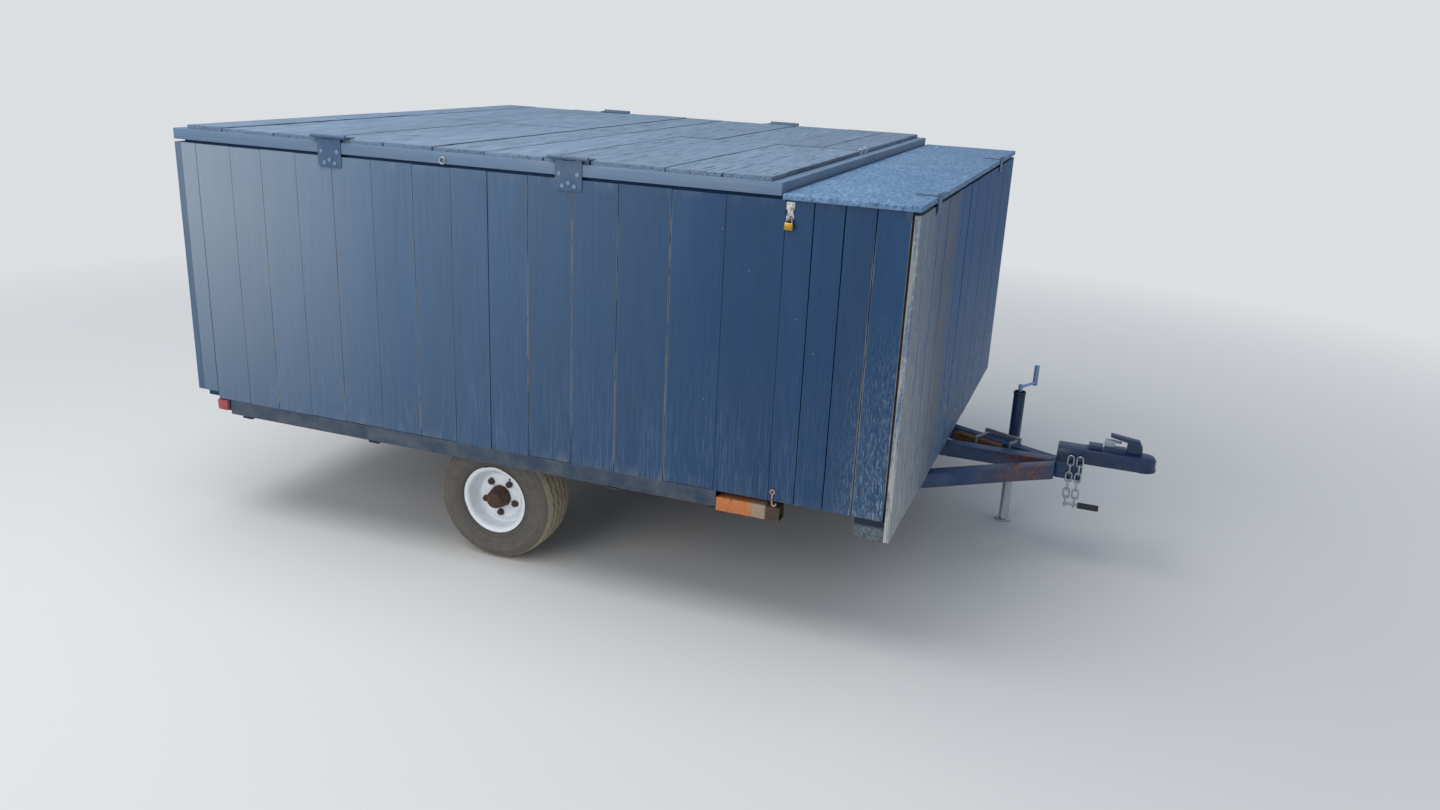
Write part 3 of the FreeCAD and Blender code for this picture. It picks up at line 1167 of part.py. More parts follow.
# Check every object, then write one file for each sub-part
doc.recompute()
for obj in doc.Objects:
    if "Invalid" in obj.State or "Error" in obj.State:
        raise RuntimeError(f"{obj.Label} failed: {obj.State}")
os.makedirs("parts", exist_ok=True)
for obj in PARTS:
    shape = obj.Shape
    if shape.isNull() or not shape.isValid():
        raise RuntimeError(f"{obj.Label} has no valid shape")
    shape.exportStep(f"parts/{obj.Label}.step")
    bounds = shape.BoundBox
    print(f"{obj.Label:20s} solids {len(shape.Solids):2d} volume {shape.Volume / 1e6:9.3f} l "
          f"x {bounds.XMin:8.1f} {bounds.XMax:8.1f} y {bounds.YMin:8.1f} {bounds.YMax:8.1f} "
          f"z {bounds.ZMin:7.1f} {bounds.ZMax:7.1f}")
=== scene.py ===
"""Utility trailer: a plank box with a lidded roof on a single-axle steel frame.

Metres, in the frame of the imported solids: +X forward to the coupler, +Y to the
trailer's left, +Z up, with the origin on the ground under its middle.
"""

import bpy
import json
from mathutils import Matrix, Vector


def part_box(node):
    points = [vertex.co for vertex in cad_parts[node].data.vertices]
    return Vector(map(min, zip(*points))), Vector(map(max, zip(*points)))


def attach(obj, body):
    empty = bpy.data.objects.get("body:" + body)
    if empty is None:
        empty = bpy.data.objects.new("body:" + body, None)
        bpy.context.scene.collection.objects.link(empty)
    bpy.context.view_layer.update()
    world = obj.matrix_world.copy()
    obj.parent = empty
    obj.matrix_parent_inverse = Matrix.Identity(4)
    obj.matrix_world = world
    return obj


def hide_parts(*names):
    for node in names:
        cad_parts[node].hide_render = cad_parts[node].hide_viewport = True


bl_info = {
    "name": "Plank box utility trailer",
    "version": (1, 0, 0),
    "blender": (4, 5, 0),
    "location": "View3D > Sidebar > Trailer",
    "description": "Boards, hardware, running gear and finishes of a small lidded utility trailer",
    "category": "Object",
}

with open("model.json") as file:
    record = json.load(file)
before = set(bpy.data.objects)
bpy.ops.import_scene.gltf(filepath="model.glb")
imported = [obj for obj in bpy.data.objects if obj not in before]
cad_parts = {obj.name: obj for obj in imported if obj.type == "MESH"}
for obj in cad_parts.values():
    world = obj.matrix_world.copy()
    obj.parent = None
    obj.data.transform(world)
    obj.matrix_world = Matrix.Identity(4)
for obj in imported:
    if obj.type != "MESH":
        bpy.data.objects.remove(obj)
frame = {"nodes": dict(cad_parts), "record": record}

import json
import math
import random

import bmesh
import bpy
from bpy.props import FloatProperty, FloatVectorProperty, IntProperty, PointerProperty
from mathutils import Matrix, Vector

MM = 0.001
NODES = frame["nodes"]
BODY_OF = {node: body for body, nodes in frame["record"]["behaviour"]["bodies"].items() for node in nodes}
SIDES = (("right", -1), ("left", 1))

# Places that several pieces share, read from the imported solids
WALL_LOW, WALL_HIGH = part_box("wall_right")
REAR_LOW, REAR_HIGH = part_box("wall_rear")
FRONT_LOW, FRONT_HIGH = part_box("wall_front")
LEAF_LOW, LEAF_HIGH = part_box("leaf_frame_right")
BOARD_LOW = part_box("leaf_boards_right")[0]
LID_LOW, LID_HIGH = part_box("front_lid")
BOX_REAR, BOX_FRONT = REAR_LOW.x, FRONT_HIGH.x
BOX_LENGTH = BOX_FRONT - BOX_REAR
HALF_WIDTH = REAR_HIGH.y
WALL_TOP, WALL_BOTTOM = WALL_HIGH.z, WALL_LOW.z
WHEEL_X, WHEEL_Y, WHEEL_Z = (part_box("tyre_left")[0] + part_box("tyre_left")[1]) / 2
# Half the width of the tread's face
TREAD_HALF = 66 * MM
# Height above the walls' lower edge up to which the paint has flaked
FLAKED = 0.62

# Plank joints of the side walls and of the lid leaves, as shares of their length
# from the rear, and of the end walls, as shares of their width from the right.
SIDE_SEAMS = (0.035, 0.091, 0.1405, 0.196, 0.252, 0.3115, 0.3715, 0.426, 0.4775,
              0.532, 0.592, 0.651, 0.717, 0.7825, 0.8515, 0.8835, 0.918, 0.9525)
# Seams of the side walls where the paint has worn pale, and those that stand open
SIDE_PALE = (2, 4, 6, 9, 10, 11, 12, 17, 18)
SIDE_OPEN = (0, 8, 15, 16, 17)
END_SEAMS = (0.074, 0.145, 0.216, 0.285, 0.356, 0.43, 0.5, 0.57, 0.644, 0.715, 0.785, 0.855, 0.927)
LEAF_SEAMS = (0.092, 0.19, 0.2835, 0.388, 0.472, 0.5575, 0.652, 0.724, 0.835, 0.916)


def linear(code):
    """An sRGB hex colour as linear red, green and blue."""
    parts = [int(code[i:i + 2], 16) / 255 for i in (1, 3, 5)]
    return tuple(c / 12.92 if c <= 0.04045 else ((c + 0.055) / 1.055) ** 2.4 for c in parts)


def colour(name, description, code):
    """A colour of a property group, from a hex code."""
    return FloatVectorProperty(name=name, description=description, subtype="COLOR", size=3,
                               min=0, max=1, default=linear(code))


def length(name, description, millimetres):
    """A length of a property group, from millimetres."""
    return FloatProperty(name=name, description=description, unit="LENGTH", default=millimetres * MM)


def power(name, description, watts):
    """A lamp's power of a property group."""
    return FloatProperty(name=name, description=description, unit="POWER", default=watts)


class TRAILER_PG_colours(bpy.types.PropertyGroup):
    """Colours of the trailer's finishes."""
    wall: colour("Wall paint", "Satin paint of the side walls", "#053b62")
    wall_light: colour("Wall streaks", "Lighter streaks in the wall paint", "#1c4f79")
    # Laid over the walls towards the rear and the top: chalked paint and a painted sheen
    chalk: colour("Chalked paint", "Paint that has chalked towards the rear", "#7c95aa")
    lid: colour("Lid paint", "Weathered paint of the lid boards", "#637a90")
    lid_light: colour("Lid streaks", "Lighter streaks in the lid paint", "#869cb2")
    cover: colour("Front lid", "Mineral surface of the front lid", "#6187aa")
    bare: colour("Bare wood", "Grey wood where the paint has gone", "#8b8d8a")
    timber: colour("Timber", "Bare framing timber", "#9a8469")
    black_steel: colour("Black steel", "Painted steel of the rails and the tongue", "#24374b")
    coupler: colour("Coupler", "Satin paint of the coupler and the jack's tube", "#14294c")
    rust: colour("Rust", "Rust on steel", "#8a4b26")
    dust: colour("Dust", "Road dust and dried mud", "#8f8d86")
    rubber: colour("Rubber", "Tyre rubber", "#4d4a47")
    rim: colour("Rim", "White enamel of the rims", "#f1f3f5")
    zinc: colour("Zinc", "Galvanised steel", "#a9adb0")
    lens: colour("Lens", "Red plastic of the tail lamps", "#a81f22")
    brass: colour("Brass", "Brass of the padlock", "#b9913f")
    floor: colour("Stage", "Floor under the trailer", "#e2dfda")


class TRAILER_PG_boards(bpy.types.PropertyGroup):
    """Sizes of the boards that the box and the lids are made of."""
    gap: length("Gap", "Open joint between two wall boards", 1.5)
    lid_gap: length("Lid gap", "Open joint between two lid boards", 5.5)
    round: length("Edge round", "Rounding of the boards' edges", 0.9)
    stagger: length("Stagger", "How unevenly the boards' faces lie", 0.6)
    wander: length("Wander", "How far a board's edge strays from straight", 0.9)
    steps: IntProperty(name="Steps", description="Stretches along a board", default=26, min=2)
    seed: IntProperty(name="Seed", description="Start of the boards' random sizes", default=7)


class TRAILER_PG_wheels(bpy.types.PropertyGroup):
    """Sizes of the tread and of the wheels' hardware."""
    groove: length("Groove", "Width of a tread groove", 8.5)
    depth: length("Depth", "Depth of a tread groove", 8)
    swing: length("Swing", "How far a groove zigzags to each side", 3.6)
    steps: IntProperty(name="Steps", description="Stretches round the tyre", default=216, min=24)


class TRAILER_PG_stage(bpy.types.PropertyGroup):
    """Light and view."""
    sky: FloatProperty(name="Sky", description="Strength of the soft light from all round", default=0.62)
    key: power("Key lamp", "Power of the large lamp overhead", 170)
    fill: power("Fill lamp", "Power of the lamp beside the camera", 120)
    reach: length("Floor", "Distance to the floor's edge", 60000)


def colours():
    """The colours that the scene holds."""
    return bpy.context.scene.trailer_colours


# Materials

# Sockets of a Mix node set to colours: its factor, its two colours and its result
MIX_FACTOR, MIX_UNDER, MIX_OVER, MIXED = 0, 6, 7, 2
# How far the grain stretches a pattern along each axis
ALONG = {"x": (30, 1, 1), "y": (1, 30, 1), "z": (1, 1, 30)}


def add(tree, kind, inputs=(), **settings):
    """Add a node, set it up and link its inputs, given as values or as (node, output)."""
    node = tree.nodes.new(kind)
    for key, value in settings.items():
        setattr(node, key, value)
    for key, value in dict(inputs).items():
        if isinstance(value, tuple) and isinstance(value[0], bpy.types.Node):
            tree.links.new(value[0].outputs[value[1]], node.inputs[key])
        else:
            node.inputs[key].default_value = value
    return node


def feed(tree, source, node, socket):
    """Link a (node, output) to an input."""
    tree.links.new(source[0].outputs[source[1]], node.inputs[socket])


def shade(tone):
    """A colour with full opacity."""
    return (*tone, 1.0)


def scaled(tone, share):
    """A colour made darker or lighter."""
    return tuple(min(c * share, 1) for c in tone)


def new_material(name):
    """A material with its own tree: returns the material, its tree and its shader."""
    made = bpy.data.materials.new(name)
    made.use_nodes = True
    tree = made.node_tree
    tree.nodes.clear()
    shader = add(tree, "ShaderNodeBsdfPrincipled")
    add(tree, "ShaderNodeOutputMaterial", {"Surface": (shader, "BSDF")})
    return made, tree, shader


def reopened(made):
    """The tree of a finished material, its shader and the colour that reaches it."""
    tree = made.node_tree
    shader = next(node for node in tree.nodes if node.type == "BSDF_PRINCIPLED")
    return tree, shader, (shader.inputs["Base Color"].links[0].from_node, MIXED)


def mask(tree, *parts):
    """Multiply parts into one number. A part is a number, a (node, output), or a ramp
    (source, low, high, least, most): least up to low, most from high on, even between.
    A ramp without its last two goes from 0 to 1."""
    found = None
    for part in parts:
        if isinstance(part, tuple) and isinstance(part[0], tuple):
            source, low, high, *ends = part
            least, most = ends or (0.0, 1.0)
            part = add(tree, "ShaderNodeMapRange", {
                "Value": source, "From Min": low, "From Max": high,
                "To Min": least, "To Max": most}), "Result"
        found = part if found is None else (
            add(tree, "ShaderNodeMath", {0: found, 1: part}, operation="MULTIPLY"), "Value")
    return found


def coated(tree, under, over, *parts):
    """Lay a second colour over a first one, as thickly as a mask of the parts says."""
    under, over = (value if isinstance(value[0], bpy.types.Node) else shade(value) for value in (under, over))
    return add(tree, "ShaderNodeMix", {
        MIX_FACTOR: mask(tree, *parts), MIX_UNDER: under, MIX_OVER: over}, data_type="RGBA"), MIXED


def layered(tree, under, *coats):
    """Lay coats one upon another over a colour, each a colour and the parts of its mask."""
    for over, *parts in coats:
        under = coated(tree, under, over, *parts)
    return under


def coordinates(tree):
    """Where a point lies on the trailer, along each axis."""
    place = add(tree, "ShaderNodeSeparateXYZ", {0: (add(tree, "ShaderNodeTexCoord"), "Object")})
    return {axis: (place, axis) for axis in "XYZ"}


def drawn_out(along, share=1):
    """The stretch of a pattern that follows the grain; a larger share follows it less."""
    return tuple(1 + (stretch - 1) / share for stretch in ALONG[along])


def cloud(tree, size_mm, detail=4.0, stretch=(1, 1, 1), rough=0.55, offset=(0, 0, 0)):
    """Noise whose blots are about size_mm wide, stretched along an axis."""
    place = add(tree, "ShaderNodeTexCoord"), "Object"
    scale = tuple(1 / (size_mm * MM * s) for s in stretch)
    turned = add(tree, "ShaderNodeMapping", {"Vector": place, "Scale": scale, "Location": offset})
    return add(tree, "ShaderNodeTexNoise", {
        "Vector": (turned, "Vector"), "Scale": 1.0, "Detail": detail, "Roughness": rough}), "Fac"


def from_dots(tree, in_a_metre, stretch=(1, 1, 1), offset=(0, 0, 0)):
    """Distance from the nearest of dots strewn through space, as a share of their spacing."""
    place = add(tree, "ShaderNodeTexCoord"), "Object"
    scale = tuple(in_a_metre / s for s in stretch)
    turned = add(tree, "ShaderNodeMapping", {"Vector": place, "Scale": scale, "Location": offset})
    return add(tree, "ShaderNodeTexVoronoi", {"Vector": (turned, "Vector"), "Scale": 1.0}), "Distance"


def relief(tree, shader, distance_mm, *heights, strength=0.6):
    """Raise the surface by the sum of the heights."""
    height = heights[0]
    for more in heights[1:]:
        height = add(tree, "ShaderNodeMath", {0: height, 1: more}, operation="ADD"), "Value"
    bump = add(tree, "ShaderNodeBump", {"Height": height, "Distance": distance_mm * MM, "Strength": strength})
    feed(tree, (bump, "Normal"), shader, "Normal")


def painted_boards(name, base, light, along, edge_colour, edge_amount, offset=0.0,
                   chalk=None, chalk_from=(0, 1), mud=0.0, rough=(0.42, 0.6), streak_mm=9,
                   contrast=0.35, cracks=0.0, bleach=0.5):
    """Brushed satin paint on sawn boards: the grain telegraphs through as fine ridges, edges
    wear to bare wood, and the finish chalks, takes a painted sheen towards the rear and the top,
    and gathers mud where weather reaches it."""
    made, tree, shader = new_material(name)
    place = coordinates(tree)
    shift = (offset, offset * 1.7, offset * 0.6)
    grain = cloud(tree, streak_mm, 6, drawn_out(along), 0.6, shift)
    fine = cloud(tree, 2.2, 3, drawn_out(along), 0.6, shift)
    broad = cloud(tree, 130, 3, drawn_out(along, 8), 0.5, shift)
    board = add(tree, "ShaderNodeAttribute", attribute_name="board"), "Fac"
    coats = [(light, (grain, 0.36, 0.72), contrast), (scaled(base, 0.6), board, 0.3),
             (light, (broad, 0.45, 0.75), 0.3)]
    if chalk is not None:
        # Chalked paint and painted sheen, paler towards the rear and the top, and a painted glare
        #         that bleaches it pale near the rear edge
        coats += [
            (chalk, (place["X"], *chalk_from, 1.0, 0.0), (place["Z"], WALL_BOTTOM, WALL_TOP, 0.35, 1.0),
             (grain, 0.2, 0.8, 0.75, 1.0)),
            (linear("#b0b4b8"), (place["X"], BOX_REAR, BOX_REAR + 0.85, bleach, 0.0),
             (place["Z"], WALL_BOTTOM, WALL_TOP - 0.2, 0.25, 1.0))]
    # Knots, and edges: a thin wear in patches all along, and bare wood in ragged stretches
    knots = from_dots(tree, 7, drawn_out(along, 12), shift)
    edge = add(tree, "ShaderNodeAttribute", attribute_name="edge"), "Fac"
    patchy = cloud(tree, 60, 5, drawn_out(along), 0.7, shift)
    ragged = cloud(tree, 6, 5, drawn_out(along, 3), 0.7, shift)
    lasting = cloud(tree, 45, 3, drawn_out(along, 7), 0.6, shift)
    thin = mask(tree, edge, (patchy, 0.47, 0.62), 0.6)
    through = mask(tree, (edge, 0.72, 0.98), (ragged, 0.36, 0.5), (lasting, 0.4, 0.56, 0.12, 1.0))
    worn = add(tree, "ShaderNodeMath", {0: thin, 1: through}, operation="MAXIMUM"), "Value"
    coats += [(scaled(base, 0.35), (knots, 0.02, 0.042, 0.8, 0.0)), (edge_colour, worn, edge_amount)]
    if cracks:
        split = cloud(tree, 4.5, 2, drawn_out(along), 0.5, (4, 4, 4))
        rubbed = cloud(tree, 5, 3, drawn_out(along), 0.6, (9, 2, 5))
        coats += [(scaled(base, 0.12), (split, 0.61, 0.65, 0.0, cracks)),
                  (scaled(light, 1.5), (rubbed, 0.6, 0.72, 0.0, 0.5))]
    if mud:
        # Splashes dried to fine runs low down, and flaked paint at the front corner
        spread = cloud(tree, 90, 3, (1, 1, 3))
        runs = cloud(tree, 3.5, 5, (1, 1, 22), 0.65)
        chips = cloud(tree, 5, 6, (1, 1, 5), 0.75, (6, 1, 4))
        coats += [
            (linear("#75879a"), (place["Z"], WALL_BOTTOM - 0.05, WALL_BOTTOM + 0.45, 1.0, 0.0),
             (spread, 0.35, 0.65, 0.3, 1.0), (runs, 0.47, 0.68), mud),
            (linear("#9ba6ae"), (chips, 0.5, 0.6), (place["Z"], WALL_BOTTOM, WALL_BOTTOM + FLAKED, 1.0, 0.0),
             (place["X"], BOX_FRONT - 0.2, BOX_FRONT - 0.02), 0.8)]
    dust = colours().dust
    scuffs = cloud(tree, 5, 2, drawn_out(along, 10), 0.5, shift)
    coats += [(dust, (from_dots(tree, 14), 0.022, 0.034, 0.6, 0.0)), (dust, (scuffs, 0.74, 0.78), 0.45)]
    feed(tree, layered(tree, base, *coats), shader, "Base Color")
    feed(tree, mask(tree, (fine, 0.3, 0.7, *rough)), shader, "Roughness")
    relief(tree, shader, 0.9, mask(tree, grain, 0.7), mask(tree, fine, 0.5))
    return made


def bare_timber(name, base, dark, along, ring_mm=7):
    """Sawn softwood left bare: earlywood and latewood bands, furry and matt."""
    made, tree, shader = new_material(name)
    grain = cloud(tree, ring_mm, 6, ALONG[along], 0.62)
    feed(tree, layered(tree, dark, (base, (grain, 0.35, 0.68)),
                       (scaled(dark, 0.5), (cloud(tree, 90, 4), 0.5, 0.75), 0.5)), shader, "Base Color")
    shader.inputs["Roughness"].default_value = 0.78
    relief(tree, shader, 0.8, grain)
    return made


def worn_metal(name, base, spot, spread=0.3, spot_mm=16, metallic=0.0, rough=0.42, dust=0.0):
    """Painted, plated or bare metal with blotches of rust or dirt that sit rough on the finish."""
    made, tree, shader = new_material(name)
    blots = cloud(tree, spot_mm, 7, rough=0.68)
    mottle = cloud(tree, spot_mm * 0.22, 4)
    rusty = mask(tree, (blots, 0.72 - spread * 0.45, 0.8 - spread * 0.35))
    paint = coated(tree, base, scaled(base, 1.35), (mottle, 0.35, 0.7))
    rust = coated(tree, scaled(spot, 0.5), spot, (mottle, 0.4, 0.65))
    surface = coated(tree, paint, rust, rusty)
    if dust:
        surface = coated(tree, surface, colours().dust, (cloud(tree, 45, 5), 0.35, 0.7), dust)
    feed(tree, surface, shader, "Base Color")
    feed(tree, mask(tree, (rusty, 0.0, 1.0, rough, 0.85)), shader, "Roughness")
    if metallic:
        feed(tree, mask(tree, (rusty, 0.0, 1.0, metallic, 0.1)), shader, "Metallic")
    relief(tree, shader, 0.25, mask(tree, rusty, 0.6), mask(tree, mottle, 0.5))
    return made


def mineral_cover(name, base, light, dark):
    """Exterior sheet with a mineral face: a speckled, chalky surface scored by pale scratches."""
    made, tree, shader = new_material(name)
    speck = cloud(tree, 11, 5, (1, 1.5, 1), 0.75)
    blots = cloud(tree, 70, 7, (1, 1.6, 1), 0.7)
    scratch = cloud(tree, 5, 3, (1.4, 26, 1), 0.5, (3, 1, 0))
    somewhere = cloud(tree, 150, 3, offset=(8, 2, 0))
    sheet = layered(tree, base, (light, (blots, 0.38, 0.66)), (dark, (speck, 0.46, 0.6), 0.85),
                    (scaled(light, 1.7), (scratch, 0.655, 0.69), (somewhere, 0.45, 0.6), 0.7))
    feed(tree, sheet, shader, "Base Color")
    feed(tree, mask(tree, (speck, 0.3, 0.7, 0.46, 0.66)), shader, "Roughness")
    relief(tree, shader, 0.8, speck, mask(tree, blots, 0.6))
    return made


def from_axle(tree):
    """Distance from the wheels' axis, in metres."""
    place = add(tree, "ShaderNodeTexCoord"), "Object"
    moved = add(tree, "ShaderNodeVectorMath", {0: place, 1: (WHEEL_X, 0, WHEEL_Z)}, operation="SUBTRACT")
    flat = add(tree, "ShaderNodeVectorMath", {0: (moved, "Vector"), 1: (1, 0, 1)}, operation="MULTIPLY")
    return add(tree, "ShaderNodeVectorMath", {0: (flat, "Vector")}, operation="LENGTH"), "Value"


def tyre_rubber(name):
    """Vulcanised rubber, moulded, dull and bloomed; brown road dust lies on the walls and the tread,
    its face lightened further as painted sunlight, and the grooves are painted near black as painted shade.
    """
    made, tree, shader = new_material(name)
    radius = from_axle(tree)
    dusty = cloud(tree, 35, 6, rough=0.65)
    black = colours().rubber
    tread = mask(tree, (radius, 0.193, 0.1985))
    wall = mask(tree, (radius, 0.118, 0.19, 0.2, 0.45))
    film = add(tree, "ShaderNodeMath", {0: wall, 1: tread}, operation="MAXIMUM"), "Value"
    aside = add(tree, "ShaderNodeMath", {0: coordinates(tree)["Y"]}, operation="ABSOLUTE"), "Value"
    inner, outer = WHEEL_Y - TREAD_HALF, WHEEL_Y + TREAD_HALF
    groove = add(tree, "ShaderNodeAttribute", attribute_name="edge"), "Fac"
    # The dust is palest on the face of the tread, where it also stands for painted sunlight, and the grooves
    # are painted near black as painted shade.
    rubber = layered(
        tree, black, (scaled(black, 1.5), (cloud(tree, 6, 4), 0.35, 0.7)),
        (linear("#857b6d"), film, (dusty, 0.3, 0.68, 0.35, 1.0)),
        (linear("#b5a78d"), (aside, inner - 4 * MM, inner), (aside, outer, outer + 4 * MM, 1.0, 0.0),
         tread, (dusty, 0.3, 0.6, 0.6, 1.0)),
        (linear("#141312"), groove, 0.95))
    feed(tree, rubber, shader, "Base Color")
    shader.inputs["Roughness"].default_value = 0.72
    shader.inputs["Specular IOR Level"].default_value = 0.35
    relief(tree, shader, 0.4, dusty, cloud(tree, 1.6, 3))
    return made


def rim_enamel(name):
    """Stoved white enamel on pressed steel: smooth, with rust creeping from flange, holes and hub."""
    made, tree, shader = new_material(name)
    rusty = add(tree, "ShaderNodeAttribute", attribute_name="edge"), "Fac"
    bloom = add(tree, "ShaderNodeMath", {
        0: cloud(tree, 9, 6, rough=0.7), 1: 0.9}, operation="SUBTRACT"), "Value"
    creeping = add(tree, "ShaderNodeMath", {0: rusty, 1: bloom}, operation="ADD"), "Value"
    spread = mask(tree, (creeping, 0.04, 0.34))
    enamel = coated(tree, colours().rim, linear("#a9a9a4"), (cloud(tree, 26, 5), 0.5, 0.78), 0.3)
    rust = coated(tree, linear("#4a2c1c"), linear("#93613e"), (cloud(tree, 3, 4), 0.4, 0.6))
    feed(tree, coated(tree, enamel, rust, spread), shader, "Base Color")
    feed(tree, mask(tree, (spread, 0.0, 1.0, 0.32, 0.85)), shader, "Roughness")
    relief(tree, shader, 0.3, spread)
    return made


def red_lens(name):
    """Moulded acrylic lens: clear gloss over a deep red body with fine prisms, filmed with dust."""
    made, tree, shader = new_material(name)
    # Prisms a few millimetres high, as coarse as they need to be to show
    prisms = add(tree, "ShaderNodeTexWave", {
        "Vector": (add(tree, "ShaderNodeTexCoord"), "Object"), "Scale": 1 / (2 * math.pi * 3 * MM) * 0.63},
        bands_direction="Z")
    red = coated(tree, colours().lens, linear("#9b7f7c"), (cloud(tree, 18, 5), 0.35, 0.7), 0.45)
    feed(tree, red, shader, "Base Color")
    shader.inputs["Roughness"].default_value = 0.28
    shader.inputs["Coat Weight"].default_value = 0.6
    shader.inputs["Coat Roughness"].default_value = 0.15
    relief(tree, shader, 0.5, (prisms, "Fac"), strength=0.5)
    return made


def spread_over(made, share_of, spot, dark, along=None):
    """Lay one more coat over a finish: rust or dirt in a place given by a function of the tree."""
    tree, shader, before = reopened(made)
    stretch = ALONG[along] if along else (1, 1, 1)
    coat = coated(tree, dark, spot, (cloud(tree, 4, 5, stretch, 0.7), 0.38, 0.62))
    feed(tree, coated(tree, before, coat, share_of(tree, coordinates(tree))), shader, "Base Color")
    return made


def bare_inside(made, axis, at, below, along="z"):
    """Leave the side of the boards that faces the load as it was sawn."""
    first, last = (at, at + MM) if below else (at - MM, at)

    def inner(tree, place):
        return mask(tree, (place[axis], first, last, *((1.0, 0.0) if below else (0.0, 1.0))))
    spread_over(made, inner, linear("#8b7b64"), linear("#635645"), along)
    tree, shader, _ = reopened(made)
    gloss = shader.inputs["Roughness"].links[0]
    dull = add(tree, "ShaderNodeMath", {
        0: (gloss.from_node, gloss.from_socket.name),
        1: mask(tree, inner(tree, coordinates(tree)), 0.3)}, operation="ADD"), "Value"
    feed(tree, dull, shader, "Roughness")
    return made


def side_boards(name, edge_share, offset, rear, fades_at, mud, bleach):
    """The walls' painted boards, chalked and given a painted sheen from the rear to where it fades out."""
    tone = colours()
    return painted_boards(name, tone.wall, tone.wall_light, "z", linear("#a79f90"), edge_share, offset,
                          chalk=tone.chalk, chalk_from=(BOX_REAR - rear, BOX_REAR + fades_at),
                          mud=mud, bleach=bleach)


def front_boards(name):
    """Satin paint taken off in runs by washing, down to grey-tan wood, most of all at the near edge and
    low down; the pale near edge and the grey-brown band beyond it are partly painted sunlight.
    """
    made = painted_boards(name, linear("#154d7d"), linear("#346998"), "z", linear("#20262d"), 0.9, 7.7,
                          mud=0.5, rough=(0.5, 0.75), contrast=0.8)
    tree, shader, paint = reopened(made)
    place = coordinates(tree)

    def over_width(start, stop, least=1.0, most=0.0):
        """A ramp that begins and ends at these distances from the near edge."""
        return place["Y"], start - HALF_WIDTH, stop - HALF_WIDTH, least, most
    edge_or_foot = add(tree, "ShaderNodeMath", {
        0: mask(tree, over_width(0.05, 0.65)),
        1: mask(tree, (place["Z"], WALL_BOTTOM, WALL_TOP - 0.3, 0.22, 0.0))}, operation="ADD"), "Value"
    washed_and_sunlit = cloud(tree, 7, 7, (1, 1, 26), 0.74, (1, 5, 2))
    brown = cloud(tree, 16, 5, (1, 1, 14), 0.6, (3, 2, 8))
    chips = cloud(tree, 5, 6, (1, 1, 3), 0.75, (6, 1, 4))
    peeled = cloud(tree, 11, 6, (1, 1, 9), 0.72, (2, 7, 1))
    # Pale worn wood at the near edge and low down, partly painted sunlight; a grey-brown band beyond it, a
    # painted pool of sunlight over bare wood; white chips at the near edge; paint peeled low down
    paint = layered(
        tree, paint, (linear("#a7a59b"), (washed_and_sunlit, 0.40, 0.56), edge_or_foot, 0.74),
        (linear("#6f6660"), over_width(0.35, 0.55, 0.0, 1.0), over_width(0.55, 0.75),
         (brown, 0.36, 0.6, 0.2, 0.72)),
        (linear("#c3c2ba"), (chips, 0.56, 0.6), over_width(0.0, 0.45), 0.8),
        (linear("#c6c0b4"), (place["Z"], WALL_BOTTOM, WALL_BOTTOM + FLAKED, 1.0, 0.0),
         over_width(0.12, 0.62), (peeled, 0.45, 0.56), 0.72))
    feed(tree, paint, shader, "Base Color")
    return made


def tongue_paint(name):
    """Old satin paint on hollow section, gone to rust in patches, most at the joint with the nose."""
    made = worn_metal(name, linear("#193a62"), linear("#6d4a34"), 0.24, 34, rough=0.36, dust=0.14)
    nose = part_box("tongue_nose")[0].x

    def patch(tree, place):
        blots = cloud(tree, 14, 6, rough=0.7, offset=(2, 0, 1))
        return mask(tree, (place["X"], nose - 0.24, nose - 0.12),
                    (place["X"], nose - 0.05, nose - 0.01, 1.0, 0.0),
                    (place["Y"], -0.02, -0.01, 1.0, 0.0), (blots, 0.44, 0.58))
    return spread_over(made, patch, linear("#9a5b35"), linear("#4d3226"))


def stub_steel(name):
    """Bare square tube: fresh orange rust at the rear, a tan bloom, and a dark sooty open end."""
    made = worn_metal(name, linear("#b9703f"), linear("#8d4f2c"), 0.35, 14, rough=0.8)
    low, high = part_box("stub_tubes")
    reach = high.x - low.x

    def bloom(tree, place):
        wander = add(tree, "ShaderNodeMath", {0: cloud(tree, 12, 4), 1: 0.5}, operation="SUBTRACT"), "Value"
        ragged = add(tree, "ShaderNodeMath", {
            0: place["X"], 1: mask(tree, wander, 0.06)}, operation="ADD"), "Value"
        return mask(tree, (ragged, low.x + 0.52 * reach, low.x + 0.56 * reach))

    def soot(tree, place):
        return mask(tree, (place["X"], low.x + 0.76 * reach, low.x + 0.79 * reach, 0.0, 0.9))
    spread_over(made, bloom, linear("#b8a084"), linear("#8f7a66"))
    return spread_over(made, soot, linear("#4a332b"), linear("#2a2322"))


def framing_timber(name):
    """Bare timber inside, with the walls' dark paint laid on where it shows between the walls' ends and the
    lids, as painted shade in those gaps.
    """
    tone = colours()
    made = bare_timber(name, tone.timber, linear("#6d5a45"), "z")
    tree, shader, wood = reopened(made)
    height = coordinates(tree)["Z"]
    # Painted shade: the wall colour laid on the framing at the walls' top and foot, where it shows in shaded
    # gaps
    above = mask(tree, (height, WALL_TOP - 12 * MM, WALL_TOP - 6 * MM))
    below = mask(tree, (height, WALL_BOTTOM + 30 * MM, WALL_BOTTOM + 36 * MM, 1.0, 0.0))
    shaded_gaps = add(tree, "ShaderNodeMath", {0: above, 1: below}, operation="ADD"), "Value"
    feed(tree, coated(tree, wood, tone.wall, shaded_gaps), shader, "Base Color")
    return made


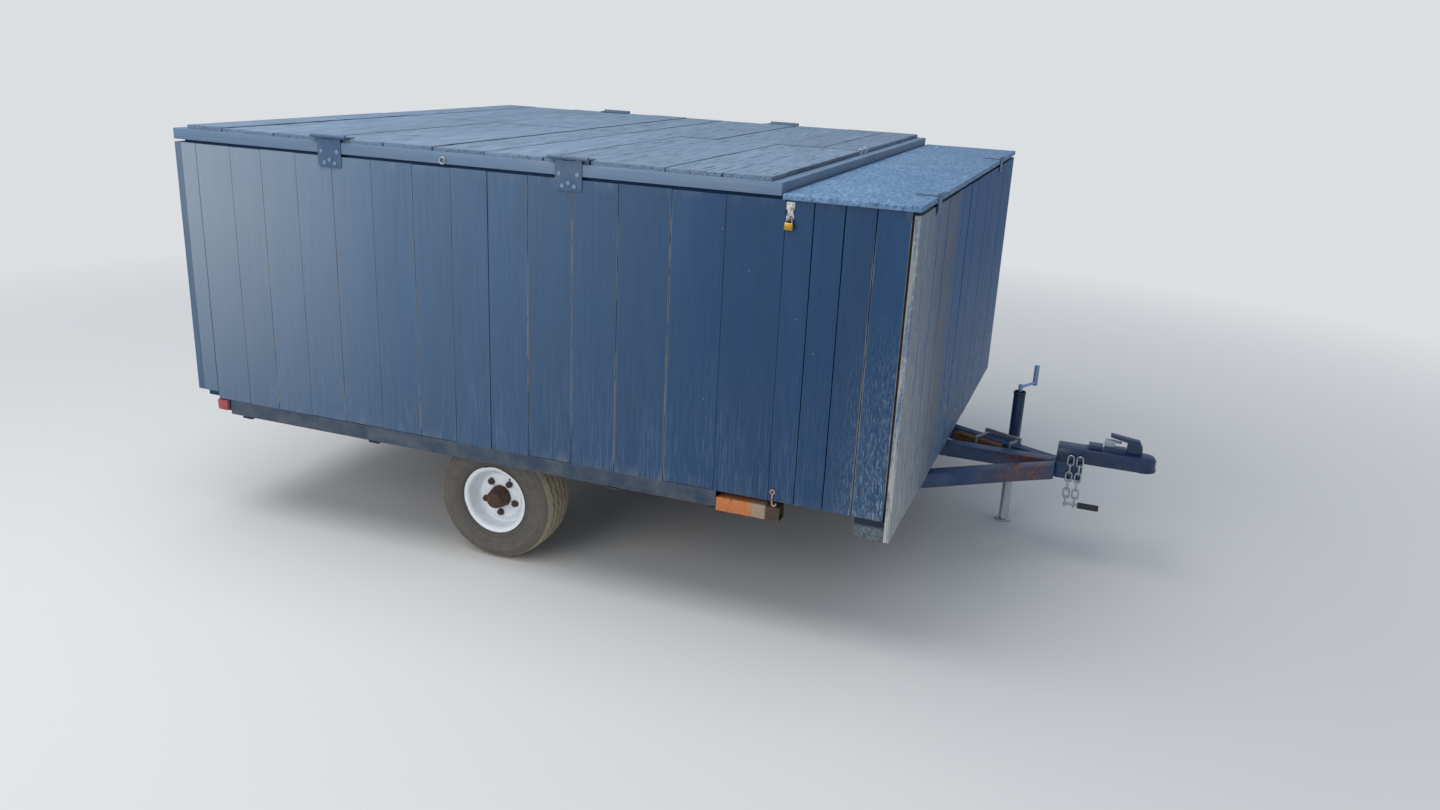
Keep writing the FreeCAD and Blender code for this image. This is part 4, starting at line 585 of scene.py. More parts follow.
def sill_timber(name):
    """Rough sawn timber, grey bare wood below and near black along its upper part."""
    made = bare_timber(name, linear("#767d80"), linear("#434c55"), "y", 9)
    tree, shader, wood = reopened(made)
    low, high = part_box("front_sill")
    rise = high.z - low.z
    above = coordinates(tree)["Z"], low.z + 0.6 * rise, low.z + 0.75 * rise
    feed(tree, coated(tree, wood, linear("#12202f"), above), shader, "Base Color")
    return made


FINISHES = {}


def finish(name):
    """A named finish, made once and shared."""
    if name not in FINISHES:
        tone = colours()
        rust, steel = tone.rust, tone.black_steel
        fades_at = 0.8 * BOX_LENGTH
        makers = {
            "wall_right": lambda n: bare_inside(
                side_boards(n, 0.8, 0.0, 0.1, fades_at, 0.5, 0.5), "Y", WALL_HIGH.y, False),
            "wall_left": lambda n: bare_inside(
                side_boards(n, 0.75, 3.1, 0.1, fades_at, 0.5, 0.25), "Y", -WALL_HIGH.y, True),
            "wall_rear": lambda n: bare_inside(
                side_boards(n, 0.6, 5.3, 0.8, 0.8, 0.6, 0.12), "X", REAR_HIGH.x, False),
            "wall_front": lambda n: bare_inside(front_boards(n), "X", FRONT_LOW.x, True),
            "lid_boards": lambda n: bare_inside(painted_boards(
                n, tone.lid, tone.lid_light, "y", scaled(tone.lid, 0.2), 0.8, 2.2,
                rough=(0.5, 0.68), streak_mm=7, contrast=1.0, cracks=0.9), "Z", BOARD_LOW.z, True, "y"),
            "lid_frame": lambda n: painted_boards(
                n, linear("#627c97"), linear("#8299b0"), "x", tone.bare, 0.5, 4.4, rough=(0.45, 0.62)),
            "front_lid": lambda n: bare_inside(
                mineral_cover(n, tone.cover, linear("#7c9dbd"), linear("#36536f")),
                "Z", LID_LOW.z, True, "y"),
            "framing": framing_timber,
            "floor_boards": lambda n: bare_timber(n, linear("#8f8273"), linear("#655a4d"), "x", 9),
            "joists": lambda n: bare_timber(n, tone.timber, linear("#6d5a45"), "y"),
            "sill": sill_timber,
            "block": lambda n: bare_timber(n, linear("#8a6038"), linear("#573a22"), "x", 8),
            "tongue": tongue_paint,
            "stub": stub_steel,
            "tyre": tyre_rubber,
            "rim": rim_enamel,
            "lens": red_lens,
        }
        # Metals: base colour, spots, how far they spread, their size in millimetres,
        # how metallic the base is, its roughness, and how much dust lies on it
        metals = {
            "black_steel": (steel, rust, 0.12, 24, 0.0, 0.4, 0.22),
            "underside": (scaled(steel, 0.8), rust, 0.35, 30, 0.0, 0.5, 0.3),
            "coupler": (tone.coupler, linear("#4f565f"), 0.16, 14, 0.0, 0.3, 0.06),
            "rusty": (linear("#41342c"), linear("#7a4c30"), 0.55, 12, 0.25, 0.55),
            "hook": (linear("#a98b7a"), linear("#8a5f47"), 0.4, 6, 0.0, 0.6),
            "spring": (linear("#3c342f"), rust, 0.4, 18, 0.4, 0.6),
            "zinc": (tone.zinc, linear("#7c7466"), 0.2, 10, 0.85, 0.42),
            "hinge": (linear("#3d5875"), linear("#5f6d7c"), 0.25, 8, 0.0, 0.42, 0.15),
            "painted_screw": (linear("#6e87a0"), linear("#7a5a48"), 0.2, 4, 0.0, 0.45),
            "hasp": (linear("#c9c7c2"), linear("#a4745f"), 0.5, 12, 0.3, 0.5),
            "grip": (linear("#22262b"), linear("#4b4e50"), 0.2, 9, 0.0, 0.5),
            "crank_grip": (linear("#7d9ab8"), linear("#c3ccd4"), 0.25, 9, 0.0, 0.45),
            "nut": (linear("#45403c"), rust, 0.45, 5, 0.6, 0.5),
            "brass": (tone.brass, linear("#6f5a34"), 0.3, 5, 0.9, 0.38),
            "lock_shell": (linear("#9fa9b2"), linear("#5c6670"), 0.25, 6, 0.7, 0.4),
        }
        FINISHES[name] = worn_metal(name, *metals[name]) if name in metals else makers[name](name)
    return FINISHES[name]


# Meshes


def mesh_of(name, shape):
    """Turn a mesh under construction into mesh data, its faces pointing outwards."""
    bmesh.ops.recalc_face_normals(shape, faces=shape.faces)
    data = bpy.data.meshes.new(name)
    shape.to_mesh(data)
    shape.free()
    return data


def finished(name, shape, body, coat, stands_for=(), smooth=35):
    """Turn a mesh under construction, or mesh data, into a piece that rides on a body."""
    data = mesh_of(name, shape) if isinstance(shape, bmesh.types.BMesh) else shape
    data.name = name
    piece = bpy.data.objects.new(name, data)
    bpy.context.scene.collection.objects.link(piece)
    data.materials.clear()
    data.materials.append(finish(coat))
    data.shade_smooth()
    data.set_sharp_from_angle(angle=math.radians(smooth))
    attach(piece, body)
    if stands_for:
        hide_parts(*stands_for)
    return piece


def box_into(shape, low, high):
    """Add a box between two corners."""
    middle = (Vector(low) + Vector(high)) / 2
    size = Vector(high) - Vector(low)
    bmesh.ops.create_cube(shape, size=1, matrix=Matrix.Translation(middle) @ Matrix.Diagonal((*size, 1)))


def softened_edges(shape, width, stretches=2, angle=32):
    """Bevel every edge that turns by more than an angle."""
    sharp = [e for e in shape.edges if len(e.link_faces) == 2 and e.calc_face_angle(0) > math.radians(angle)]
    bmesh.ops.bevel(shape, geom=sharp, offset=width, segments=stretches, affect="EDGES",
                    profile=0.5, clamp_overlap=True)
    return shape


def node_shape(node):
    """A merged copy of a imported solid, with each flat side one face."""
    shape = bmesh.new()
    shape.from_mesh(NODES[node].data)
    bmesh.ops.remove_doubles(shape, verts=shape.verts, dist=0.01 * MM)
    bmesh.ops.dissolve_limit(shape, angle_limit=math.radians(1), verts=shape.verts, edges=shape.edges)
    return shape


def softened(node, coat, width_mm, stretches=2, angle=32):
    """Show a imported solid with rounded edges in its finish."""
    shape = softened_edges(node_shape(node), width_mm * MM, stretches, angle)
    return finished(f"{node}_finished", shape, BODY_OF[node], coat, (node,))


def skin_into(shape, rings, around=False):
    """Join rings of points by faces; around joins the last to the first, or else both are closed."""
    for first, second in zip(rings, rings[1:] + (rings[:1] if around else [])):
        for index in range(len(first)):
            following = (index + 1) % len(first)
            shape.faces.new((first[index], first[following], second[following], second[index]))
    if not around:
        shape.faces.new(rings[0])
        shape.faces.new(rings[-1])


def ring_into(shape, centre, radius, across, up, sides):
    """Add points evenly round a centre, in the plane of two directions."""
    return [shape.verts.new(centre + radius * (across * math.cos(angle) + up * math.sin(angle)))
            for angle in (2 * math.pi * side / sides for side in range(sides))]


def turned_into(shape, profile, centre, axis, sign, steps, around=False):
    """Add a shape turned round an axis from (radius, distance along it) points; sign is the
    way along the axis, and around joins the profile's end to its start."""
    rings = []
    for radius, along in profile:
        ring = []
        for index in range(steps):
            angle = 2 * math.pi * index / steps
            c, s = radius * math.cos(angle), radius * math.sin(angle)
            offset = {"y": (c, along * sign, s), "x": (along * sign, c, s), "z": (c, s, along * sign)}[axis]
            ring.append(shape.verts.new(Vector(centre) + Vector(offset)))
        rings.append(ring)
    skin_into(shape, rings, around)


def bar_into(shape, points, radius, sides, around=False):
    """Add a round bar that follows points; around joins its end to its start."""
    points = [Vector(p) for p in points]
    rings = []
    reference = None
    count = len(points)
    for index, point in enumerate(points):
        before = points[index - 1] if around or index else point
        after = points[(index + 1) % count] if around or index < count - 1 else point
        heading = (after - before).normalized()
        if reference is None:
            reference = heading.orthogonal().normalized()
        reference = (reference - heading * reference.dot(heading)).normalized()
        rings.append(ring_into(shape, point, radius, reference, heading.cross(reference), sides))
    skin_into(shape, rings, around)


def arc(centre, radius, start, stop, steps, across=(1, 0, 0), up=(0, 0, 1)):
    """Points on an arc in the plane of two directions; angles in degrees."""
    for index in range(steps + 1):
        angle = math.radians(start + (stop - start) * index / steps)
        yield Vector(centre) + radius * (Vector(across) * math.cos(angle) + Vector(up) * math.sin(angle))


# Repeats: one tree puts a piece of hardware on every point of a layout


def scatter_tree():
    """Place copies of an object on points, each turned to its own rotation attribute."""
    tree = bpy.data.node_groups.new("Trailer hardware", "GeometryNodeTree")
    for name, kind in (("Geometry", "Geometry"), ("Piece", "Object"), ("Finish", "Material"),
                       ("Spin", "Float")):
        tree.interface.new_socket(name, in_out="INPUT", socket_type="NodeSocket" + kind)
    tree.interface.new_socket("Geometry", in_out="OUTPUT", socket_type="NodeSocketGeometry")
    given = add(tree, "NodeGroupInput")
    piece = add(tree, "GeometryNodeObjectInfo", {"Object": (given, "Piece")})
    facing = add(tree, "GeometryNodeInputNamedAttribute", {"Name": "facing"}, data_type="FLOAT_VECTOR")
    least = add(tree, "ShaderNodeMath", {0: (given, "Spin"), 1: -1.0}, operation="MULTIPLY")
    # Sockets 2, 3 and 1 are the least, the most and the result of a random float
    spin = add(tree, "FunctionNodeRandomValue", {
        2: (least, "Value"), 3: (given, "Spin"), "Seed": 3}, data_type="FLOAT")
    upright = add(tree, "FunctionNodeAlignRotationToVector", {"Vector": (facing, "Attribute")}, axis="Z")
    twist = add(tree, "FunctionNodeAxisAngleToRotation", {"Angle": (spin, 1)})
    turn = add(tree, "FunctionNodeRotateRotation", {
        "Rotation": (upright, "Rotation"), "Rotate By": (twist, "Rotation")}, rotation_space="LOCAL")
    copies = add(tree, "GeometryNodeInstanceOnPoints", {
        "Points": (given, "Geometry"), "Instance": (piece, "Geometry"), "Rotation": (turn, "Rotation")})
    real = add(tree, "GeometryNodeRealizeInstances", {"Geometry": (copies, "Instances")})
    coat = add(tree, "GeometryNodeSetMaterial", {
        "Geometry": (real, "Geometry"), "Material": (given, "Finish")})
    add(tree, "NodeGroupOutput", {"Geometry": (coat, "Geometry")})
    return tree


def scattered(name, pattern, places, body, coat, spin=180.0):
    """One mesh of copies of a pattern at (point, outward direction) places on a body, each
    turned about that direction by up to spin degrees. The pattern is used up."""
    layout = bpy.data.meshes.new(name + "_layout")
    layout.from_pydata([tuple(point) for point, facing in places], [], [])
    facings = layout.attributes.new("facing", "FLOAT_VECTOR", "POINT")
    for index, (point, facing) in enumerate(places):
        facings.data[index].vector = facing
    holder = bpy.data.objects.new(name + "_layout", layout)
    model = bpy.data.objects.new(name + "_pattern", pattern)
    for item in (holder, model):
        bpy.context.scene.collection.objects.link(item)
    tree = bpy.data.node_groups.get("Trailer hardware") or scatter_tree()
    modifier = holder.modifiers.new("Hardware", "NODES")
    modifier.node_group = tree
    sockets = {item.name: item.identifier for item in tree.interface.items_tree if item.in_out == "INPUT"}
    modifier[sockets["Piece"]] = model
    modifier[sockets["Finish"]] = finish(coat)
    modifier[sockets["Spin"]] = math.radians(spin)
    bpy.context.view_layer.update()
    graph = bpy.context.evaluated_depsgraph_get()
    made = bpy.data.meshes.new_from_object(holder.evaluated_get(graph), depsgraph=graph)
    holder.modifiers.remove(modifier)
    for item in (holder, model):
        data = item.data
        bpy.data.objects.remove(item)
        bpy.data.meshes.remove(data)
    return finished(name, made, body, coat)


def nail_head(radius_mm=3.2, height_mm=0.7):
    """A flat nail head, painted over."""
    shape = bmesh.new()
    r, h = radius_mm * MM, height_mm * MM
    turned_into(shape, [(r, -h), (r, h * 0.4), (r * 0.8, h), (r * 0.2, h * 0.9)], (0, 0, 0), "z", 1, 10)
    return mesh_of("nail_head", shape)


def hex_bolt(across_mm, height_mm, washer_mm, shank_mm=0):
    """A hexagon head on a washer, with a threaded end if a shank is given."""
    shape = bmesh.new()
    w = washer_mm * MM
    turned_into(shape, [(w, 0), (w, 1.4 * MM), (w * 0.94, 1.8 * MM)], (0, 0, 0), "z", 1, 18)
    r, h = across_mm / math.sqrt(3) * MM, height_mm * MM
    turned_into(shape, [(r, 1.8 * MM), (r, h), (r * 0.86, h + MM)], (0, 0, 0), "z", 1, 6)
    if shank_mm:
        s = across_mm * 0.3 * MM
        top = h + shank_mm * MM
        turned_into(shape, [(s, h), (s, top), (s * 0.8, top + MM)], (0, 0, 0), "z", 1, 10)
    return mesh_of("hex_bolt", shape)


# Boards

# Distance of a row of nails from a board's end
NAIL_ROW = 35 * MM


def board_into(shape, layers, low, high, along, rng, sizes, worn, thin):
    """Add one board between two corners, with rounded long edges that wander a little, and
    attributes for its tone and for how worn its two edges are. Its thin axis is 0, 1 or 2."""
    tone, edge = layers
    a, t = "xyz".index(along), thin
    c = 3 - a - t
    r = sizes.round
    value = rng.random()
    wears = worn if isinstance(worn, tuple) else (worn, worn)
    wobble = [[rng.uniform(-1, 1) for _ in range(5)] for _ in range(2)]

    def strays(side, share):
        return sizes.wander * 0.33 * sum(
            w * math.sin(math.pi * (k + 1) * share * 2.3 + w * 6) for k, w in enumerate(wobble[side][:3]))
    rings = []
    for step in range(sizes.steps + 1):
        share = step / sizes.steps
        at = low[a] + (high[a] - low[a]) * share
        c0, c1 = low[c] + abs(strays(0, share)), high[c] - abs(strays(1, share))
        t0, t1 = low[t], high[t]
        inset = min(r * 3.5, (c1 - c0) * 0.2)
        d = r * 0.3
        section = [
            (c0 + r, t0, 1), (c0 + inset, t0, 0), (c1 - inset, t0, 0), (c1 - r, t0, 1),
            (c1 - d, t0 + d, 1), (c1, t0 + r, 1), (c1, t1 - r, 1), (c1 - d, t1 - d, 1),
            (c1 - r, t1, 1), (c1 - inset, t1, 0), (c0 + inset, t1, 0), (c0 + r, t1, 1),
            (c0 + d, t1 - d, 1), (c0, t1 - r, 1), (c0, t0 + r, 1), (c0 + d, t0 + d, 1),
        ]
        ring = []
        for across, through, rim in section:
            co = [0.0, 0.0, 0.0]
            co[a], co[c], co[t] = at, across, through
            vert = shape.verts.new(co)
            vert[tone] = value
            near = wears[0] if across < (c0 + c1) / 2 else wears[1]
            vert[edge] = rim * near if 0 < step < sizes.steps else min(near, 0.4)
            ring.append(vert)
        rings.append(ring)
    skin_into(shape, rings)


def new_boards():
    """A mesh under construction and its layers for the boards' tones and edges."""
    shape = bmesh.new()
    return shape, (shape.verts.layers.float.new("board"), shape.verts.layers.float.new("edge"))


def planked(name, node, across, seams, face, coat, seed, ends=None, pale=(), wide=(), loose=1.0):
    """Replace a wall by its planks, laid side by side along an axis. Seams are counted from 0;
    pale ones have lost their paint, wide ones stand open, and loose opens them all."""
    sizes = bpy.context.scene.trailer_boards
    rng = random.Random(sizes.seed + seed)
    low, high = (list(v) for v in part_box(node))
    c = "xy".index(across)
    t = 1 - c
    start, whole = (BOX_REAR, BOX_LENGTH) if across == "x" else (-HALF_WIDTH, 2 * HALF_WIDTH)
    inner_marks = [start + share * whole for share in seams]
    marks = [low[c], *(mark for mark in inner_marks if low[c] < mark < high[c]), high[c]]
    shape, layers = new_boards()
    places = []

    def gap_at(seam):
        """Wide seams gape, pale ones are open, and a wall with pale ones is tight elsewhere."""
        return sizes.gap * loose * (1.5 if seam in wide else 0.9 if seam in pale else 0.35 if pale else 0.8)

    def wear_at(seam):
        return 1.0 if seam in pale else rng.uniform(0.0, 0.3)
    for index, (first, last) in enumerate(zip(marks, marks[1:])):
        lo, hi = list(low), list(high)
        lo[c] = first + (gap_at(index - 1) / 2 if index else 0)
        hi[c] = last - (gap_at(index) / 2 if index < len(marks) - 2 else 0)
        back = rng.uniform(0.1, 1) * sizes.stagger * loose * loose
        if face > 0:
            hi[t] -= back
        else:
            lo[t] += back
        if ends:
            lo[2] = ends(index, lo[2])
        lo[2] += rng.uniform(0, 2.5) * MM
        hi[2] -= rng.uniform(0, 1.5) * MM
        worn = (wear_at(index - 1), wear_at(index))
        board_into(shape, layers, lo, hi, "z", rng, sizes, worn, t)
        outside = hi[t] if face > 0 else lo[t]
        facing = [0, 0, 0]
        facing[t] = face
        for height in (lo[2] + NAIL_ROW, hi[2] - NAIL_ROW):
            for share in ((0.28, 0.72) if hi[c] - lo[c] > 0.1 else (0.5,)):
                point = [0, 0, height + rng.uniform(-6, 6) * MM]
                point[c] = lo[c] + (hi[c] - lo[c]) * share + rng.uniform(-5, 5) * MM
                point[t] = outside
                places.append((point, facing))
    finished(name, shape, BODY_OF[node], coat, (node,), 40)
    scattered(f"{name}_nails", nail_head(), [(Vector(p) - Vector(f) * 0.2 * MM, f) for p, f in places],
              BODY_OF[node], coat)


# Operators: one for each piece or group of like pieces


class TrailerStep:
    """What the trailer's operators share."""
    bl_options = {"REGISTER", "UNDO"}


class TRAILER_OT_stage(TrailerStep, bpy.types.Operator):
    """Lay the pale floor and set the soft lamps, the sky and the camera"""
    bl_idname = "trailer.stage"
    bl_label = "Stage"

    def execute(self, context):
        scene = context.scene
        stage = scene.trailer_stage
        scene.view_settings.view_transform = "Standard"
        shape = bmesh.new()
        shape.faces.new(ring_into(shape, Vector(), stage.reach, Vector((1, 0, 0)), Vector((0, 1, 0)), 64))
        data = bpy.data.meshes.new("stage_floor")
        shape.to_mesh(data)
        shape.free()
        ground = bpy.data.objects.new("stage_floor", data)
        scene.collection.objects.link(ground)
        made, tree, shader = new_material("stage_floor")
        shader.inputs["Base Color"].default_value = shade(scene.trailer_colours.floor)
        shader.inputs["Roughness"].default_value = 0.9
        # Far from the trailer the floor thins out into the backdrop, so no horizon shows.
        place = add(tree, "ShaderNodeTexCoord"), "Object"
        far = add(tree, "ShaderNodeVectorMath", {0: place}, operation="LENGTH"), "Value"
        fade = mask(tree, (far, 2.3, 5.8))
        clear = add(tree, "ShaderNodeBsdfTransparent")
        both = add(tree, "ShaderNodeMixShader", {0: fade, 1: (shader, "BSDF"), 2: (clear, "BSDF")})
        output = next(node for node in tree.nodes if node.type == "OUTPUT_MATERIAL")
        tree.links.new(both.outputs["Shader"], output.inputs["Surface"])
        data.materials.append(made)
        world = bpy.data.worlds.new("Soft sky")
        world.use_nodes = True
        tree = world.node_tree
        tree.nodes.clear()
        seen = add(tree, "ShaderNodeLightPath")
        glow = add(tree, "ShaderNodeBackground", {"Color": shade(linear("#cfdcee")), "Strength": stage.sky})
        pale = add(tree, "ShaderNodeBackground", {"Color": shade(linear("#dcdfe2")), "Strength": 1.0})
        both = add(tree, "ShaderNodeMixShader", {
            0: (seen, "Is Camera Ray"), 1: (glow, "Background"), 2: (pale, "Background")})
        add(tree, "ShaderNodeOutputWorld", {"Surface": (both, "Shader")})
        scene.world = world
        for name, power, place, size in (
                ("key_lamp", stage.key, (-1.5, -1.2, 5.2), 5.0),
                ("fill_lamp", stage.fill, (-2.2, -6.5, 3.2), 4.5)):
            lamp = bpy.data.lights.new(name, "AREA")
            lamp.shape = "DISK"
            lamp.size = size
            lamp.energy = power
            item = bpy.data.objects.new(name, lamp)
            scene.collection.objects.link(item)
            item.location = place
            aim = Vector((-0.2, 0, 0.7)) - Vector(place)
            item.rotation_euler = aim.to_track_quat("-Z", "Y").to_euler()
        self.camera(scene)
        return {"FINISHED"}

    def camera(self, scene):
        """The view of the photograph, worked out from the box's corners, the wheel and the rails."""
        yaw, pitch, roll = (math.radians(v) for v in (19.74, 17.93, 2.83))
        eye = Vector((1.372, -3.860, 1.665))
        focal = 27.93
        forward = Vector((-math.sin(yaw) * math.cos(pitch), math.cos(yaw) * math.cos(pitch),
                          -math.sin(pitch)))
        level = Vector((math.cos(yaw), math.sin(yaw), 0))
        above = level.cross(forward)
        right = math.cos(roll) * level + math.sin(roll) * above
        up = -math.sin(roll) * level + math.cos(roll) * above
        lens = bpy.data.cameras.new("camera")
        lens.sensor_width = 36
        lens.lens = focal
        lens.clip_end = 200
        view = bpy.data.objects.new("camera", lens)
        scene.collection.objects.link(view)
        view.matrix_world = Matrix((
            (right.x, up.x, -forward.x, eye.x), (right.y, up.y, -forward.y, eye.y),
            (right.z, up.z, -forward.z, eye.z), (0, 0, 0, 1)))
        scene.camera = view


class TRAILER_OT_walls(TrailerStep, bpy.types.Operator):
    """Lay the walls' planks side by side and nail them"""
    bl_idname = "trailer.walls"
    bl_label = "Walls"

    def execute(self, context):
        def rear_board_lifted(index, bottom):
            return REAR_LOW.z if index == 0 else bottom
        for name, side in SIDES:
            planked(f"{name}_wall_planks", f"wall_{name}", "x", SIDE_SEAMS, side, f"wall_{name}", 10 + side,
                    rear_board_lifted, SIDE_PALE, SIDE_OPEN)
        planked("front_wall_planks", "wall_front", "y", END_SEAMS, 1, "wall_front", 30,
                wide=(0, 1, 3, 6), loose=2.3)
        planked("rear_wall_planks", "wall_rear", "y", END_SEAMS, -1, "wall_rear", 50)
        return {"FINISHED"}


class TRAILER_OT_timber(TrailerStep, bpy.types.Operator):
    """Finish the framing, the floor and the sill"""
    bl_idname = "trailer.timber"
    bl_label = "Timber"

    def execute(self, context):
        for node, coat in (("box_framing", "framing"), ("floor_deck", "floor_boards"),
                           ("floor_joists", "joists"), ("front_sill", "sill")):
            softened(node, coat, 2.0)
        softened("tongue_block", "block", 3.0, 3)
        return {"FINISHED"}


class TRAILER_OT_lid_leaves(TrailerStep, bpy.types.Operator):
    """Build the two lid leaves: a frame of bars, and boards nailed across it"""
    bl_idname = "trailer.lid_leaves"
    bl_label = "Lid leaves"

    def execute(self, context):
        sizes = context.scene.trailer_boards
        for name, side in SIDES:
            rng = random.Random(sizes.seed + 70 + side)
            body = f"lid_{name}"
            self.frame(name, body, rng, sizes)
            low, high = (list(v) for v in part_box(f"leaf_boards_{name}"))
            start, whole = LEAF_LOW.x, LEAF_HIGH.x - LEAF_LOW.x
            marks = [low[0]] + [start + share * whole for share in LEAF_SEAMS] + [high[0]]
            shape, layers = new_boards()
            nails = []
            for index, (first, last) in enumerate(zip(marks, marks[1:])):
                lo = [first + (sizes.lid_gap / 2 if index else 0), low[1], low[2]]
                hi = [last - (sizes.lid_gap / 2 if index < len(marks) - 2 else 0), high[1],
                      high[2] - rng.uniform(0, 3.5) * MM]
                if side < 0:
                    lo[1] += rng.uniform(0, 5) * MM
                else:
                    hi[1] -= rng.uniform(0, 5) * MM
                board_into(shape, layers, lo, hi, "y", rng, sizes, rng.choice((0.3, 0.6, 1.0)), 2)
                for y in (lo[1] + NAIL_ROW, (lo[1] + hi[1]) / 2, hi[1] - NAIL_ROW):
                    for share in (0.25, 0.75):
                        nails.append(((lo[0] + (hi[0] - lo[0]) * share + rng.uniform(-6, 6) * MM,
                                       y + rng.uniform(-6, 6) * MM, hi[2] - 0.3 * MM), (0, 0, 1)))
            finished(f"{name}_leaf_boards", shape, body, "lid_boards",
                     (f"leaf_boards_{name}",), 40)
            scattered(f"{name}_leaf_nails", nail_head(), nails, body, "lid_boards")
        return {"FINISHED"}

    def frame(self, name, body, rng, sizes):
        """Bars of the leaf's frame; the long ones run through, the short ones fit between."""
        low, high = (list(v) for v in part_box(f"leaf_frame_{name}"))
        width = 64 * MM
        shape, layers = new_boards()
        for y in (low[1], high[1] - width):
            lo, hi = [low[0], y, low[2]], [high[0], y + width, high[2]]
            board_into(shape, layers, lo, hi, "x", rng, sizes, 0.8, 2)
        middle = (low[0] + high[0]) / 2
        for x in (low[0], middle - width / 2, high[0] - width):
            lo = [x, low[1] + width + 0.8 * MM, low[2]]
            hi = [x + width, high[1] - width - 0.8 * MM, high[2] - 0.4 * MM]
            board_into(shape, layers, lo, hi, "y", rng, sizes, 0.8, 2)
        finished(f"{name}_leaf_bars", shape, body, "lid_frame",
                 (f"leaf_frame_{name}",), 40)


class TRAILER_OT_front_lid(TrailerStep, bpy.types.Operator):
    """Lay the flat front lid with its worn edges and its two screw eyes"""
    bl_idname = "trailer.front_lid"
    bl_label = "Front lid"

    def execute(self, context):
        softened("front_lid", "front_lid", 2.5, 3)
        # Screw eyes stand on the leaves' front bars, one each side of the middle joint.
        for name, side in SIDES:
            shape = bmesh.new()
            foot = Vector((LEAF_HIGH.x - 0.03, side * 0.035, LEAF_HIGH.z))
            eye_into(shape, foot, 7.5, 1.8)
            finished(f"{name}_screw_eye", shape, f"lid_{name}", "zinc")
        return {"FINISHED"}


def eye_into(shape, foot, radius_mm, wire_mm):
    """Add a screw eye that stands up from its foot, its ring in the XZ plane."""
    r, w = radius_mm * MM, wire_mm * MM
    up = Vector((0, 0, 1))
    ring = list(arc(foot + up * (r + 2.5 * w), r, -80, 262, 22))
    bar_into(shape, [foot - up * w, foot + up * w * 1.4, *ring], w, 8)


# Middles of the leaves' hinges from the box's rear, and of the front lid's from its middle
LEAF_HINGES = (0.612, 1.432)
LID_STRAPS = (-0.772, 0.55)
# Bolts of a leaf's hinge plate, from the middle of its hinge and from the walls' top
PLATE_BOLTS = ((-0.029, 0.014), (0.029, 0.014), (0, -0.011), (-0.019, -0.02), (0.019, -0.02))


class TRAILER_OT_hinges(TrailerStep, bpy.types.Operator):
    """Round the hinge plates, flaps and barrels and bolt them on"""
    bl_idname = "trailer.hinges"
    bl_label = "Hinges"

    def execute(self, context):
        for node in ("hinge_plates", "front_lid_straps", "leaf_flaps_right", "leaf_flaps_left"):
            softened(node, "hinge", 0.5, 1, 40)
        wall = [((BOX_REAR + middle + shift, side * (HALF_WIDTH + 2.7 * MM), WALL_TOP + height), (0, side, 0))
                for middle in LEAF_HINGES for _, side in SIDES for shift, height in PLATE_BOLTS]
        scattered("hinge_plate_bolts", nail_head(6.5, 2.2), wall, "chassis", "painted_screw")
        for name, side in SIDES:
            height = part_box(f"leaf_flaps_{name}")[0].z + 5.3 * MM
            screws = [((BOX_REAR + middle + shift, side * (HALF_WIDTH - 0.024), height), (0, 0, 1))
                      for middle in LEAF_HINGES for shift in (-0.05, -0.018, 0.018, 0.05)]
            scattered(f"{name}_flap_screws", nail_head(4.2, 1.4), screws, f"lid_{name}", "hinge")
        strap_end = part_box("front_lid_straps")[1].x - 0.03
        front = [((strap_end - shift, y, LID_HIGH.z + 2.3 * MM), (0, 0, 1))
                 for y in LID_STRAPS for shift in (0.01, 0.032)]
        scattered("front_strap_screws", nail_head(4.2, 1.4), front, "lid_front", "hinge")
        plate = [((BOX_FRONT + 2.6 * MM, y + shift, WALL_TOP - 0.018), (1, 0, 0))
                 for y in LID_STRAPS for shift in (-0.017, 0.017)]
        scattered("front_plate_screws", nail_head(4.0, 1.2), plate, "chassis", "hinge")
        return {"FINISHED"}


